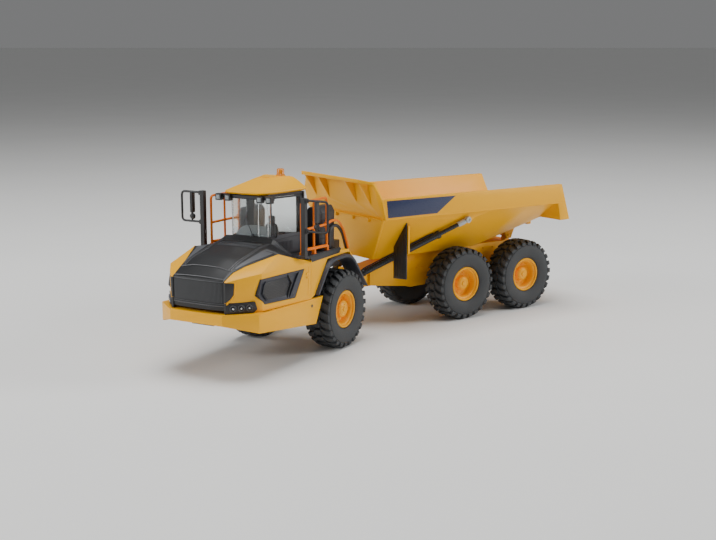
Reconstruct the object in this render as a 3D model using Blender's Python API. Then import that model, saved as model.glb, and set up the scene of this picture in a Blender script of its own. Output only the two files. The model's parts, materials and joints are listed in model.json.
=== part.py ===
"""Toy articulated dump truck, about 1:16, built as separate jointed pieces.

All sizes below are millimetres.  The rear unit is laid out in its own frame:
X forward, Y to its left, Z up, with the origin on the floor under the middle
axle.  The front unit has a frame of its own, with its origin on the floor
under the steering hitch, and that frame is turned about Z by HITCH_TURN.
"""
import math

import bmesh
import bpy
from mathutils import Matrix, Vector

MM = 0.001
GAP = 0.3            # resting clearance between neighbouring solids

# wheels and axles
TYRE_RADIUS = 58.5
TYRE_WIDTH = 44.0
RIM_RADIUS = 28.0
RIM_WIDTH = 34.0
WHEEL_Y = 69.6       # centre plane of a wheel
BOGIE_SPACING = 135.0
SPINDLE_RADIUS = 4.0
SPINDLE_DEPTH = 14.0  # how far a spindle reaches into its rim
AXLE_RADIUS = 7.0
DIFF_RADIUS = 15.0

# hitch
HITCH_X = 214.0
HITCH_Z = 76.0
HITCH_TURN = 23.7    # degrees, front unit steered to its left at rest
TONGUE_HALF = 12.0
TONGUE_THICK = 12.0
YOKE_HALF = 13.0
YOKE_PLATE = 5.6
HITCH_PIN_RADIUS = 4.0
ROLL_SHAFT_RADIUS = 8.0
ROLL_SHAFT_LENGTH = 22.0
YOKE_BACK = 34.0     # from hitch axis back to the yoke's rear face
YOKE_BLOCK = 14.0

# rear frame
FRAME_HALF = 24.0
NECK_HALF = 20.0
FRAME_TOP = 108.0
FRAME_LOW = 52.0
FRAME_WALL = 4.5
FRAME_REAR_X = -162.0
FRAME_POCKETS = ((28.0, 84.0), (-62.0, -18.0), (-116.0, -70.0))

# dump body
FLOOR_BOTTOM = 110.5
FLOOR_THICK = 4.0
FLOOR_SEAM = 40.0    # half width of the floor plate
FLOOR_HALF = 44.0    # outer half width at floor level
FLOOR_BEND_X = -55.0
WALL = 4.0
SLOPE_HALF = 96.0    # half width where the sloped side meets the rail
RAIL_HALF = 103.0
RAIL_WIDTH = 6.5
RAIL_TOP_FRONT = 213.0
RAIL_TOP_REAR = 209.5
RAIL_LOW_FRONT = 181.0
RAIL_LOW_REAR = 177.0
TAIL_TOP_X = -199.0
TAIL_LOW_X = -220.0
TAIL_LOW_Z = 148.0
BOLSTER_LENGTH = 22.0
SIDE_STATIONS = (60.0, FLOOR_BEND_X, -130.0)
TAIL_LAMP_Y = 26.0
WALL_FOOT_X = 161.0
WALL_CREASE_X = 180.0
WALL_CREASE_Z = 180.0
WALL_TOP_X = 194.0
WALL_TOP_Z = 236.0
WALL_TOP_HALF = 90.0
LIP_X = 212.6
LIP_Z = 243.7
LIP_HALF = 75.6
LIP_THICK = 6.0
GUSSET_YS = (-72.0, -36.0, 36.0, 72.0)
GUSSET_FOOT_Z = 200.0
TIP_X = -148.0
TIP_Z = 118.0
TIP_PIN_RADIUS = 3.0
TIP_EAR = 6.0

# mud flaps
FLAP_X = 127.0
FLAP_THICK = 2.5
FLAP_INNER = 58.5
FLAP_OUTER = 90.0
FLAP_LOW = 79.0

# lift cylinders: lower pivot on the neck, upper eye beside the body's bracket
LIFT_FOOT = Vector((186.0, 29.5, 82.2))
LIFT_EYE = Vector((5.0, 94.0, 166.0))
LIFT_AXIS = Vector((0.464, 0.794, 0.392))
BARREL_RADIUS = 5.0
BARREL_LENGTH = 157.0
ROD_RADIUS = 3.2
ROD_INSIDE = 150.0
EYE_RADIUS = 6.5
EYE_THICK = 6.0
BRACKET_GAP = 4.0    # lets the slanting rod pass the bracket plate
BRACKET_TOP = 169.5  # stays inside the sloped side's thickness
LIFT_PIN_RADIUS = 2.2
LIFT_BOSS_RADIUS = 5.0

# front frame and engine
FRONT_AXLE_X = 95.0
FRONT_FRAME_HALF = 18.0
FRONT_FRAME_LOW = 73.8
FRONT_FRAME_TOP = 90.2
FRONT_FRAME_START = 28.0
FRONT_FRAME_END = 330.0
ENGINE_X = (226.0, 296.0)
ENGINE_HALF = 26.0
ENGINE_TOP = 146.0

# bumper
BUMPER_FRONT_X = 345.0
BUMPER_FRONT_HALF = 43.0
BUMPER_CORNER_X = 314.0
BODY_HALF = 81.0
BUMPER_TOP = 94.0
BUMPER_WALL = 4.0
BUMPER_DECK = 3.5
BUMPER_DECK_START = 300.0
BUMPER_REAR_TOP = (150.4, 88.6)
BUMPER_REAR_LOW = (170.0, 51.3)
BUMPER_CORNER_LOW = 67.9
BUMPER_FRONT_LOW = 79.2

# bonnet, side panels
PANEL_THICK = 3.0
PANEL_REAR_X = 183.0
BONNET_REAR_X = 222.0
BONNET_FRONT_X = 341.0
BONNET_LOW_Z = 98.0
BONNET_HINGE = (339.0, 98.0)

# cab
CAB_FRONT_X = 214.0
CAB_REAR_X = 148.0
CAB_FRONT_HALF = 31.0
CAB_REAR_HALF = 50.0
CAB_WALL = 4.0
CAB_LOW = 106.0
CAB_FLOOR = 4.0
CAB_TOP = 238.0
GLASS_THICK = 2.0
WINDOW_LOW = 185.0
WINDOW_TOP = 232.0
DOOR_LOW = 152.0
DOOR_TOP = 234.0
DOOR_REAR = 6.0      # from the cab's rear corner along its side
DOOR_FRONT = 64.0
DOOR_GAP = 0.4
ROOF_TOP = 258.5

# platform, fenders, rails
PLATFORM_TOP = 151.0
PLATFORM_THICK = 3.2
PLATFORM_INNER = 42.0
PLATFORM_REAR_X = 98.0
PLATFORM_NOTCH_X = 190.0
PLATFORM_NOTCH_Y = 74.8
DECK_REAR_X = 36.0
FENDER_TOP = 147.5
RAIL_Y = 80.0
RAIL_RADIUS = 1.8
RAIL_HEIGHT = 229.0
RAIL_MID = 190.0
RAIL_FRONT_X = 201.0
RAIL_REAR_X = 133.0
MIRROR_X = 208.0
MIRROR_Y = 86.0
MIRROR_TOP = 237.0
MIRROR_OUT = 124.0

# Base colours (sRGB hex), roughness, metallic
LOOKS = {
    "yellow": ("#E8A81C", 0.42, 0.0),
    "orange": ("#D9692A", 0.45, 0.0),
    "black": ("#26272A", 0.55, 0.0),
    "dark_grey": ("#4E5054", 0.6, 0.0),
    "grey": ("#9AA0A4", 0.5, 0.0),
    "tyre": ("#3A3B3D", 0.85, 0.0),
    "rim": ("#F0AE25", 0.35, 0.0),
    "glass": ("#CFDADB", 0.08, 0.0),
    "amber": ("#F08C12", 0.2, 0.0),
    "rod": ("#2E2F32", 0.35, 0.0),
}


def linear(hex_colour):
    """Turn an sRGB hex colour into linear RGBA."""
    channels = [int(hex_colour[i:i + 2], 16) / 255 for i in (1, 3, 5)]
    values = [c / 12.92 if c <= 0.04045 else ((c + 0.055) / 1.055) ** 2.4 for c in channels]
    return (*values, 1.0)


def material(name):
    """Return the Principled material of that name, made once."""
    found = bpy.data.materials.get(name)
    if found:
        return found
    colour, roughness, metallic = LOOKS[name]
    made = bpy.data.materials.new(name)
    made.use_nodes = True
    shader = made.node_tree.nodes["Principled BSDF"]
    shader.inputs["Base Color"].default_value = linear(colour)
    shader.inputs["Roughness"].default_value = roughness
    shader.inputs["Metallic"].default_value = metallic
    return made


class Pivot:
    """An empty that carries pieces; `at` is its place in its unit's frame."""

    def __init__(self, name, at=(0, 0, 0), parent=None, turn=0.0, starts_unit=False):
        self.empty = bpy.data.objects.new(name, None)
        bpy.context.collection.objects.link(self.empty)
        offset = Vector(at) - (parent.at if parent else Vector((0, 0, 0)))
        self.empty.location = offset * MM
        self.empty.rotation_euler = (0, 0, math.radians(turn))
        self.empty.parent = parent.empty if parent else None
        self.at = Vector((0, 0, 0)) if starts_unit else Vector(at)

    def hold(self, name, look, piece):
        """Name a finished piece, give it its material and hang it here."""
        piece.name = name
        piece.data.name = name
        piece.data.transform(Matrix.Translation(-self.at * MM))
        piece.parent = self.empty
        piece.data.materials.clear()
        piece.data.materials.append(material(look))
        piece.data.shade_smooth()
        piece.data.set_sharp_from_angle(angle=math.radians(30))
        return piece


# ---------------------------------------------------------------- shapes

def mesh_object(vertices, faces):
    """Make an object from points in millimetres, faces turned outward."""
    mesh = bpy.data.meshes.new("shape")
    mesh.from_pydata([Vector(v) * MM for v in vertices], [], faces)
    work = bmesh.new()
    work.from_mesh(mesh)
    bmesh.ops.recalc_face_normals(work, faces=work.faces)
    work.to_mesh(mesh)
    work.free()
    made = bpy.data.objects.new("shape", mesh)
    bpy.context.collection.objects.link(made)
    return made


def loft(rings):
    """Skin a list of equally long closed rings and cap both ends."""
    count = len(rings[0])
    vertices = [point for ring in rings for point in ring]
    faces = [list(range(count)), list(range(len(vertices) - count, len(vertices)))]
    for level in range(len(rings) - 1):
        for i in range(count):
            a = level * count + i
            b = level * count + (i + 1) % count
            faces.append([a, b, b + count, a + count])
    return mesh_object(vertices, faces)


def prism_y(outline, low, high):
    """Extrude an XZ outline along Y."""
    return loft([[(x, y, z) for x, z in outline] for y in (low, high)])


def prism_x(outline, low, high):
    """Extrude a YZ outline along X."""
    return loft([[(x, y, z) for y, z in outline] for x in (low, high)])


def prism_z(outline, low, high):
    """Extrude an XY outline along Z."""
    return loft([[(x, y, z) for x, y in outline] for z in (low, high)])


def box(low, high):
    """A block between two corners."""
    (x0, y0, z0), (x1, y1, z1) = low, high
    return prism_z([(x0, y0), (x1, y0), (x1, y1), (x0, y1)], z0, z1)


def lathe(profile, centre, axis=(0, 1, 0), segments=36):
    """Turn a closed profile of (radius, distance along axis) about an axis."""
    axis = Vector(axis).normalized()
    side = axis.orthogonal().normalized()
    up = axis.cross(side)
    centre = Vector(centre)
    vertices, faces, rows = [], [], []
    for radius, along in profile:
        if radius == 0:
            vertices.append(centre + axis * along)
            rows.append([len(vertices) - 1] * segments)
            continue
        rows.append(list(range(len(vertices), len(vertices) + segments)))
        for i in range(segments):
            turn = math.tau * i / segments
            spoke = side * math.cos(turn) + up * math.sin(turn)
            vertices.append(centre + spoke * radius + axis * along)
    closed = all(radius > 0 for radius, _ in profile)
    pairs = list(zip(rows, rows[1:])) + ([(rows[-1], rows[0])] if closed else [])
    for near, far in pairs:
        for i in range(segments):
            j = (i + 1) % segments
            corners = [near[i], near[j], far[j], far[i]]
            face = [c for k, c in enumerate(corners) if c not in corners[:k]]
            if len(face) > 2:
                faces.append(face)
    return mesh_object(vertices, faces)


def rod(start, end, radius, segments=16):
    """A round bar between two points."""
    start, end = Vector(start), Vector(end)
    length = (end - start).length
    return lathe([(0, 0), (radius, 0), (radius, length), (0, length)], start, end - start, segments)


def ball(centre, radius, segments=20, rows=10):
    """A round ball."""
    profile = [(0, -radius)]
    for i in range(1, rows):
        turn = math.pi * i / rows
        profile.append((radius * math.sin(turn), -radius * math.cos(turn)))
    profile.append((0, radius))
    return lathe(profile, centre, (0, 0, 1), segments)


def sweep(points, radius, segments=8):
    """A bent round tube through flat-lying points, mitred at each corner."""
    points = [Vector(p) for p in points]
    steps = [(b - a).normalized() for a, b in zip(points, points[1:])]
    normal = None
    for a, b in zip(steps, steps[1:]):
        if a.cross(b).length > 1e-6:
            normal = a.cross(b).normalized()
            break
    normal = normal or steps[0].orthogonal().normalized()
    rings = []
    for i, point in enumerate(points):
        before = steps[max(i - 1, 0)]
        after = steps[min(i, len(steps) - 1)]
        tangent = (before + after).normalized()
        across = tangent.cross(normal)
        stretch = 1 / max(before.dot(tangent), 0.5)
        ring = []
        for k in range(segments):
            turn = math.tau * (k + 0.5) / segments
            ring.append(point + normal * radius * math.sin(turn) + across * radius * stretch * math.cos(turn))
        rings.append(ring)
    return loft(rings)


def combine(base, others, operation):
    """Apply Boolean modifiers to base and remove the other shapes."""
    for other in others:
        step = base.modifiers.new(operation.lower(), "BOOLEAN")
        step.operation = operation
        step.solver = "EXACT"
        step.object = other
    bpy.context.view_layer.update()
    graph = bpy.context.evaluated_depsgraph_get()
    result = bpy.data.meshes.new_from_object(base.evaluated_get(graph))
    base.modifiers.clear()
    base.data = result
    for other in others:
        bpy.data.objects.remove(other)
    return base


def union(base, *others):
    """Join shapes into one closed body."""
    return combine(base, others, "UNION")


def cut(base, *cutters):
    """Take shapes away from a body."""
    return combine(base, cutters, "DIFFERENCE")


def mirrored(outline):
    """Complete a right half outline of (y, z) with its left half."""
    return outline + [(-y, z) for y, z in reversed(outline)]


def between(x, x0, v0, x1, v1):
    """Straight interpolation."""
    return v0 + (v1 - v0) * (x - x0) / (x1 - x0)


# ---------------------------------------------------------------- wheels

def tyre(y):
    """A plain tyre, its bore a clearance larger than the rim."""
    half = TYRE_WIDTH / 2
    bore = RIM_RADIUS + GAP
    side = [(bore, half - 5), (bore + 8, half - 1), (TYRE_RADIUS - 4, half - 1), (TYRE_RADIUS, half - 6)]
    profile = [(r, -w) for r, w in side] + [(r, w) for r, w in reversed(side)]
    return lathe(profile, (0, y, 0), segments=36)


def rim(y):
    """A dished rim with a stepped hub outside and a blind bore inside."""
    out = math.copysign(1, y)
    half = RIM_WIDTH / 2
    bore = SPINDLE_RADIUS + GAP
    profile = [(0, half - 4), (10, half - 4), (11, half - 9), (18, half - 9), (20, half - 4),
               (24, half - 4), (25, half), (RIM_RADIUS, half), (RIM_RADIUS, -half),
               (24, -half), (22, -2), (11, -2), (11, -half), (bore, -half),
               (bore, -half + SPINDLE_DEPTH + GAP), (0, -half + SPINDLE_DEPTH + GAP)]
    return lathe(profile, (0, y, 0), (0, out, 0), segments=24)


def axle(x):
    """A cross axle with a differential bulb and a spindle at each end."""
    inner = WHEEL_Y - RIM_WIDTH / 2
    shoulder = inner - 5
    beam = rod((x, -shoulder, TYRE_RADIUS), (x, shoulder, TYRE_RADIUS), AXLE_RADIUS)
    spindle = inner + SPINDLE_DEPTH
    pin = rod((x, -spindle, TYRE_RADIUS), (x, spindle, TYRE_RADIUS), SPINDLE_RADIUS, 12)
    return union(beam, ball((x, 0, TYRE_RADIUS), DIFF_RADIUS, 16, 8), pin)


def add_wheels(unit, prefix, x):
    """Hang a left and a right wheel on a unit."""
    for side, sign in (("left", 1), ("right", -1)):
        centre = (x, sign * WHEEL_Y, TYRE_RADIUS)
        wheel = Pivot(f"{prefix}_{side}_wheel_axis", centre, unit)
        for kind, shape in (("tyre", tyre), ("rim", rim)):
            piece = shape(sign * WHEEL_Y)
            piece.data.transform(Matrix.Translation(Vector((x, 0, TYRE_RADIUS)) * MM))
            wheel.hold(f"{prefix}_{side}_{kind}", kind, piece)


# ---------------------------------------------------------------- rear unit

def lift_frame(sign):
    """Foot, eye, and hinge axis of one lift cylinder."""
    flip = Vector((1, sign, 1))
    foot = Vector([a * b for a, b in zip(LIFT_FOOT, flip)])
    eye = Vector([a * b for a, b in zip(LIFT_EYE, flip)])
    axis = Vector([a * b for a, b in zip(LIFT_AXIS, flip)]) * sign
    along = (eye - foot).normalized()
    axis = (axis - along * axis.dot(along)).normalized()
    return foot, eye, axis, along


def rear_frame():
    """Channel frame with a neck, a roll bore, tipping ears and lift pins."""
    neck_x = HITCH_X - YOKE_BACK - GAP
    low_axle = TYRE_RADIUS + DIFF_RADIUS + GAP
    outline = [(neck_x - 30, 64), (60, FRAME_LOW), (36, FRAME_LOW), (22, low_axle),
               (FRAME_REAR_X, low_axle), (FRAME_REAR_X, FRAME_TOP), (76, FRAME_TOP), (112, 97),
               (neck_x - 30, 90)]
    frame = prism_y(outline, -FRAME_HALF, FRAME_HALF)
    neck = box((neck_x - 34, -NECK_HALF, 62.5), (neck_x, NECK_HALF, 91))
    ears = [prism_y([(TIP_X - 8, FRAME_TOP - 6), (TIP_X + 8, FRAME_TOP - 6),
                     (TIP_X + 5, TIP_Z + 5), (TIP_X - 5, TIP_Z + 5)],
                    *sorted((sign * (FRAME_HALF - 0.6), sign * (FRAME_HALF - TIP_EAR))))
            for sign in (1, -1)]
    pin_end = FRAME_HALF + TIP_EAR + 1.5
    pin = rod((TIP_X, -pin_end, TIP_Z), (TIP_X, pin_end, TIP_Z), TIP_PIN_RADIUS)
    lift_pins = []
    for sign in (1, -1):
        foot, _, axis, _ = lift_frame(sign)
        outward = axis * sign
        profile = [(0, -14), (LIFT_BOSS_RADIUS, -14), (LIFT_BOSS_RADIUS, -6.2), (LIFT_PIN_RADIUS, -6.2),
                   (LIFT_PIN_RADIUS, 7), (0, 7)]
        lift_pins.append(lathe(profile, foot, outward, 14))
        near, far = sorted((sign * 17, sign * 21))
        lift_pins.append(box((neck_x - 28, near, 68), (188, far, 88)))
    frame = union(frame, neck, pin, *ears, *lift_pins)
    inside = FRAME_HALF - FRAME_WALL
    pockets = [box((a, -inside, 0), (b, inside, FRAME_TOP - FRAME_WALL))
               for a, b in FRAME_POCKETS]
    bore = rod((neck_x - ROLL_SHAFT_LENGTH - 2, 0, HITCH_Z), (neck_x + 5, 0, HITCH_Z),
               ROLL_SHAFT_RADIUS + GAP, 24)
    return cut(frame, bore, *pockets)


def hitch_yoke():
    """Forked yoke: roll shaft into the rear neck, pin for the front tongue."""
    half = TONGUE_THICK / 2 + 0.4
    back = HITCH_X - YOKE_BACK
    front = back + YOKE_BLOCK
    reach = half + YOKE_PLATE + 0.6
    block = box((back, -YOKE_HALF - 0.6, HITCH_Z - reach), (front, YOKE_HALF + 0.6, HITCH_Z + reach))
    nose = []
    for i in range(13):
        turn = math.pi * (0.5 - i / 12)
        nose.append((HITCH_X + YOKE_HALF * math.cos(turn), YOKE_HALF * math.sin(turn)))
    outline = [(front - 3, YOKE_HALF)] + nose + [(front - 3, -YOKE_HALF)]
    arms = [prism_z(outline, low, low + YOKE_PLATE) for low in (HITCH_Z - half - YOKE_PLATE, HITCH_Z + half)]
    pin = rod((HITCH_X, 0, HITCH_Z - half - 1), (HITCH_X, 0, HITCH_Z + half + 1), HITCH_PIN_RADIUS)
    shaft = rod((back - ROLL_SHAFT_LENGTH, 0, HITCH_Z), (back + 2, 0, HITCH_Z), ROLL_SHAFT_RADIUS, 24)
    return union(block, pin, shaft, *arms)


def floor_z(x):
    """Underside of the dump floor: level, then rising to the tail."""
    if x >= FLOOR_BEND_X:
        return FLOOR_BOTTOM
    return between(x, FLOOR_BEND_X, FLOOR_BOTTOM, TAIL_LOW_X, TAIL_LOW_Z)


def wall_x(z):
    """Front face of the dump body's front wall."""
    if z <= WALL_CREASE_Z:
        return between(z, FLOOR_BOTTOM, WALL_FOOT_X, WALL_CREASE_Z, WALL_CREASE_X)
    return between(z, WALL_CREASE_Z, WALL_CREASE_X, WALL_TOP_Z, WALL_TOP_X)


def tail_x(z):
    """Slanted rear end of the dump body."""
    return between(z, RAIL_TOP_REAR, TAIL_TOP_X, TAIL_LOW_Z, TAIL_LOW_X)


def side_section(x):
    """Cross-section (y, z) of the left dump side at one station."""
    low = floor_z(x)
    rail_low = between(x, WALL_CREASE_X, RAIL_LOW_FRONT, TAIL_TOP_X, RAIL_LOW_REAR)
    rail_top = between(x, WALL_CREASE_X, RAIL_TOP_FRONT, TAIL_TOP_X, RAIL_TOP_REAR)
    slope = (SLOPE_HALF - FLOOR_HALF) / (rail_low - low)
    inner = FLOOR_HALF + FLOOR_THICK * slope - WALL - 1
    return [(FLOOR_SEAM + GAP, low), (FLOOR_HALF, low), (SLOPE_HALF, rail_low),
            (RAIL_HALF, rail_low), (RAIL_HALF, rail_top), (RAIL_HALF - RAIL_WIDTH, rail_top),
            (SLOPE_HALF - WALL - 1, rail_low + 2), (inner, low + FLOOR_THICK),
            (FLOOR_SEAM + GAP, low + FLOOR_THICK)]


def dump_side(sign):
    """One side of the dump body with its rail, tail bolster and lift bracket."""
    front_end = [(wall_x(z) - WALL - GAP, y, z) for y, z in side_section(WALL_CREASE_X)]
    middle = [[(x, y, z) for y, z in side_section(x)] for x in SIDE_STATIONS]
    tail_end = [(tail_x(z), y, z) for y, z in side_section(TAIL_LOW_X)]
    side = loft([front_end, *middle, tail_end])
    low, high = TAIL_LOW_Z, RAIL_LOW_REAR + 4
    front = BOLSTER_LENGTH
    bolster_outline = [(tail_x(low), low), (tail_x(low) + front, low),
                       (tail_x(high) + front * 0.8, high), (tail_x(high), high)]
    bolster = prism_y(bolster_outline, FLOOR_HALF + 2, RAIL_HALF)
    slope_cut = prism_x([(0, TAIL_LOW_Z + 2), (FLOOR_HALF - 1, TAIL_LOW_Z + 2),
                         (SLOPE_HALF - 3, RAIL_LOW_REAR + 1), (SLOPE_HALF - 3, 260), (0, 260)],
                        TAIL_LOW_X - 40, TAIL_LOW_X + 60)
    bolster = cut(bolster, slope_cut)
    plate_low = LIFT_EYE.z - 8
    plate_y = LIFT_EYE.y - EYE_THICK / 2 - BRACKET_GAP
    bracket = prism_y([(-19, BRACKET_TOP), (16.5, BRACKET_TOP), (10, plate_low), (-2, plate_low)],
                      plate_y - 3, plate_y)
    side = union(side, bolster, bracket)
    return side if sign > 0 else reflected(side)


def reflected(piece):
    """Mirror a finished piece across the XZ plane."""
    work = bmesh.new()
    work.from_mesh(piece.data)
    bmesh.ops.scale(work, vec=(1, -1, 1), verts=work.verts)
    bmesh.ops.reverse_faces(work, faces=work.faces)
    work.to_mesh(piece.data)
    work.free()
    return piece


def dump_floor():
    """Floor plate with two tipping ears and the tail lamp brackets."""
    rear = tail_x(TAIL_LOW_Z)
    outline = [(wall_x(FLOOR_BOTTOM) - WALL - GAP, FLOOR_BOTTOM),
               (wall_x(FLOOR_BOTTOM + FLOOR_THICK) - WALL - GAP, FLOOR_BOTTOM + FLOOR_THICK),
               (FLOOR_BEND_X, FLOOR_BOTTOM + FLOOR_THICK),
               (tail_x(TAIL_LOW_Z + FLOOR_THICK), TAIL_LOW_Z + FLOOR_THICK),
               (rear, TAIL_LOW_Z), (FLOOR_BEND_X, FLOOR_BOTTOM)]
    floor = prism_y(outline, -FLOOR_SEAM, FLOOR_SEAM)
    ears = []
    for sign in (1, -1):
        near = sign * (FRAME_HALF + 0.8)
        far = near + sign * TIP_EAR
        top = floor_z(TIP_X) + 1
        ears.append(prism_y([(TIP_X - 14, top), (TIP_X + 14, top - 3), (TIP_X + 5, TIP_Z - 6),
                             (TIP_X - 5, TIP_Z - 6)], min(near, far), max(near, far)))
        lamp_x = TAIL_LOW_X + 22
        top = floor_z(lamp_x) + 1
        lamp_y = sign * TAIL_LAMP_Y
        ears.append(box((lamp_x, lamp_y - 7, top - 11), (lamp_x + 8, lamp_y + 7, top)))
    bore = rod((TIP_X, -60, TIP_Z), (TIP_X, 60, TIP_Z), TIP_PIN_RADIUS + GAP)
    return cut(union(floor, *ears), bore)


def dump_front_wall():
    """Leaning front wall with the spill guard and its four gussets."""
    levels = [(FLOOR_BOTTOM, FLOOR_HALF), (WALL_CREASE_Z, SLOPE_HALF), (WALL_CREASE_Z + 1, RAIL_HALF),
              (RAIL_TOP_FRONT, RAIL_HALF), (WALL_TOP_Z, WALL_TOP_HALF)]
    rings = []
    for z, half in levels:
        x = wall_x(z)
        rings.append([(x, -half, z), (x, half, z), (x - WALL, half, z), (x - WALL, -half, z)])
    wall = loft(rings)
    back = WALL_TOP_X - WALL
    root_low, root_top = WALL_TOP_Z - 2, WALL_TOP_Z + 2
    root = [(back, -WALL_TOP_HALF, root_low), (back, WALL_TOP_HALF, root_low),
            (back, WALL_TOP_HALF, root_top), (back, -WALL_TOP_HALF, root_top)]
    lip = [(LIP_X, -LIP_HALF, LIP_Z - LIP_THICK), (LIP_X, LIP_HALF, LIP_Z - LIP_THICK),
           (LIP_X, LIP_HALF, LIP_Z), (LIP_X, -LIP_HALF, LIP_Z)]
    guard = loft([root, lip])
    gussets = [prism_y([(wall_x(GUSSET_FOOT_Z) - 1, GUSSET_FOOT_Z), (wall_x(WALL_TOP_Z) - 1, WALL_TOP_Z),
                        (LIP_X - 3, LIP_Z - 5)], y - 1.5, y + 1.5) for y in GUSSET_YS]
    return union(wall, guard, *gussets)


def mud_flap(sign):
    """Rubber flap under the sloped side, ahead of the middle wheel."""
    def slope_at(y):
        low, high = RAIL_LOW_FRONT - 0.5, FLOOR_BOTTOM
        return between(y, FLOOR_HALF, high, SLOPE_HALF, low) - 0.8
    outline = [(FLAP_INNER, FLAP_LOW), (FLAP_OUTER, FLAP_LOW + 3),
               (FLAP_OUTER, slope_at(FLAP_OUTER)), (FLAP_INNER, slope_at(FLAP_INNER))]
    outline = [(sign * y, z) for y, z in outline]
    return prism_x(outline, FLAP_X, FLAP_X + FLAP_THICK)


def lift_barrel(sign):
    """Cylinder barrel: closed foot with a pin bore, open at its head."""
    foot, _, axis, along = lift_frame(sign)
    head, bore_radius, collar = BARREL_LENGTH, ROD_RADIUS + GAP, BARREL_RADIUS + 0.8
    profile = [(0, 1.7), (BARREL_RADIUS, 1.7), (BARREL_RADIUS, head - 6), (collar, head - 6),
               (collar, head), (bore_radius, head), (bore_radius, 7.5), (0, 7.5)]
    body = lathe(profile, foot, along, 20)
    knuckle = rod(foot - axis * BARREL_RADIUS, foot + axis * BARREL_RADIUS, BARREL_RADIUS + 0.5, 18)
    bore = rod(foot - axis * 12, foot + axis * 12, LIFT_PIN_RADIUS + GAP, 14)
    return cut(union(body, knuckle), bore)


def lift_rod(sign):
    """Piston rod with a flat round eye."""
    foot, eye, _, along = lift_frame(sign)
    start = foot + along * (BARREL_LENGTH - ROD_INSIDE + 1)
    bar = rod(start, eye - along * 3, ROD_RADIUS, 16)
    side = Vector((0, 1, 0))
    disc = rod(eye - side * EYE_THICK / 2, eye + side * EYE_THICK / 2, EYE_RADIUS, 20)
    return union(bar, disc)


def build_rear_unit():
    """Rear frame, bogie, dump body and lift cylinders."""
    unit = Pivot("rear_unit_origin")
    unit.hold("rear_frame", "yellow", rear_frame())
    unit.hold("middle_axle", "black", axle(0))
    unit.hold("rear_axle", "black", axle(-BOGIE_SPACING))
    add_wheels(unit, "middle", 0)
    add_wheels(unit, "rear", -BOGIE_SPACING)

    tip = Pivot("tipping_axis", (TIP_X, 0, TIP_Z), unit)
    tip.hold("dump_floor", "yellow", dump_floor())
    tip.hold("dump_front_wall", "yellow", dump_front_wall())
    for side, sign in (("left", 1), ("right", -1)):
        tip.hold(f"dump_{side}_side", "yellow", dump_side(sign))
        tip.hold(f"{side}_mud_flap", "black", mud_flap(sign))
        foot = lift_frame(sign)[0]
        lift = Pivot(f"{side}_lift_axis", foot, unit)
        lift.hold(f"{side}_lift_barrel", "black", lift_barrel(sign))
        lift.hold(f"{side}_lift_rod", "rod", lift_rod(sign))

    roll = Pivot("roll_axis", (HITCH_X, 0, HITCH_Z), unit)
    roll.hold("hitch_yoke", "black", hitch_yoke())
    return unit


# ---------------------------------------------------------------- front unit

def front_frame():
    """Box frame with the hitch tongue."""
    beam = box((FRONT_FRAME_START, -FRONT_FRAME_HALF, FRONT_FRAME_LOW),
               (FRONT_FRAME_END, FRONT_FRAME_HALF, FRONT_FRAME_TOP))
    low, high = HITCH_Z - TONGUE_THICK / 2, HITCH_Z + TONGUE_THICK / 2
    tongue = box((0, -TONGUE_HALF, low), (FRONT_FRAME_START + 12, TONGUE_HALF, high))
    eye = rod((0, 0, low), (0, 0, high), TONGUE_HALF, 28)
    bore = rod((0, 0, low - 5), (0, 0, high + 5), HITCH_PIN_RADIUS + GAP, 16)
    return cut(union(beam, tongue, eye), bore)


def bumper_top(x):
    """Upper edge of the bumper's side plates."""
    if x > BUMPER_DECK_START - 2:
        return BUMPER_TOP
    return between(x, BUMPER_REAR_TOP[0], BUMPER_REAR_TOP[1], BUMPER_CORNER_X, BUMPER_TOP)


def bumper():
    """Wrap-around bumper with deep side plates and a front deck."""
    t = BUMPER_WALL
    corner = (BUMPER_CORNER_X, BODY_HALF)
    front = (BUMPER_FRONT_X, BUMPER_FRONT_HALF)
    pieces = []
    for sign in (1, -1):
        side = prism_y([(corner[0], BUMPER_TOP), BUMPER_REAR_TOP, BUMPER_REAR_LOW,
                        (corner[0], BUMPER_CORNER_LOW)],
                       sign * corner[1] - (t if sign > 0 else 0),
                       sign * corner[1] + (0 if sign > 0 else t))
        ring = [[(corner[0], sign * corner[1]), BUMPER_CORNER_LOW],
                [(front[0], sign * front[1]), BUMPER_FRONT_LOW],
                [(front[0] - t, sign * (front[1] - 1)), BUMPER_FRONT_LOW],
                [(corner[0] - 1, sign * (corner[1] - t)), BUMPER_CORNER_LOW]]
        chamfer = loft([[(x, y, z) for (x, y), z in ring], [(x, y, BUMPER_TOP) for (x, y), _ in ring]])
        pieces += [side, chamfer]
    nose = box((front[0] - t, -front[1], BUMPER_FRONT_LOW), (front[0], front[1], BUMPER_TOP))
    deck = prism_z([(BUMPER_DECK_START, -corner[1] + 1), (corner[0] - 1, -corner[1] + 1),
                    (front[0] - 1, -front[1]), (front[0] - 1, front[1]),
                    (corner[0] - 1, corner[1] - 1), (BUMPER_DECK_START, corner[1] - 1)],
                   BUMPER_TOP - BUMPER_DECK, BUMPER_TOP)
    return union(deck, nose, *pieces)


# Stations of the front body: X, bonnet centre height, crease height, edge (y, z)
BONNET_STATIONS = ((BONNET_REAR_X, 178.5, 178.0, 75.0, 155.5), (250.0, 173.5, 172.5, 70.0, 164.6),
                   (299.0, 163.0, 157.5, 49.5, 153.6), (320.0, 153.0, 149.0, 43.5, 147.6),
                   (338.0, 140.5, 139.5, 42.0, 138.5))
CREASE_Y = 40.0


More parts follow.
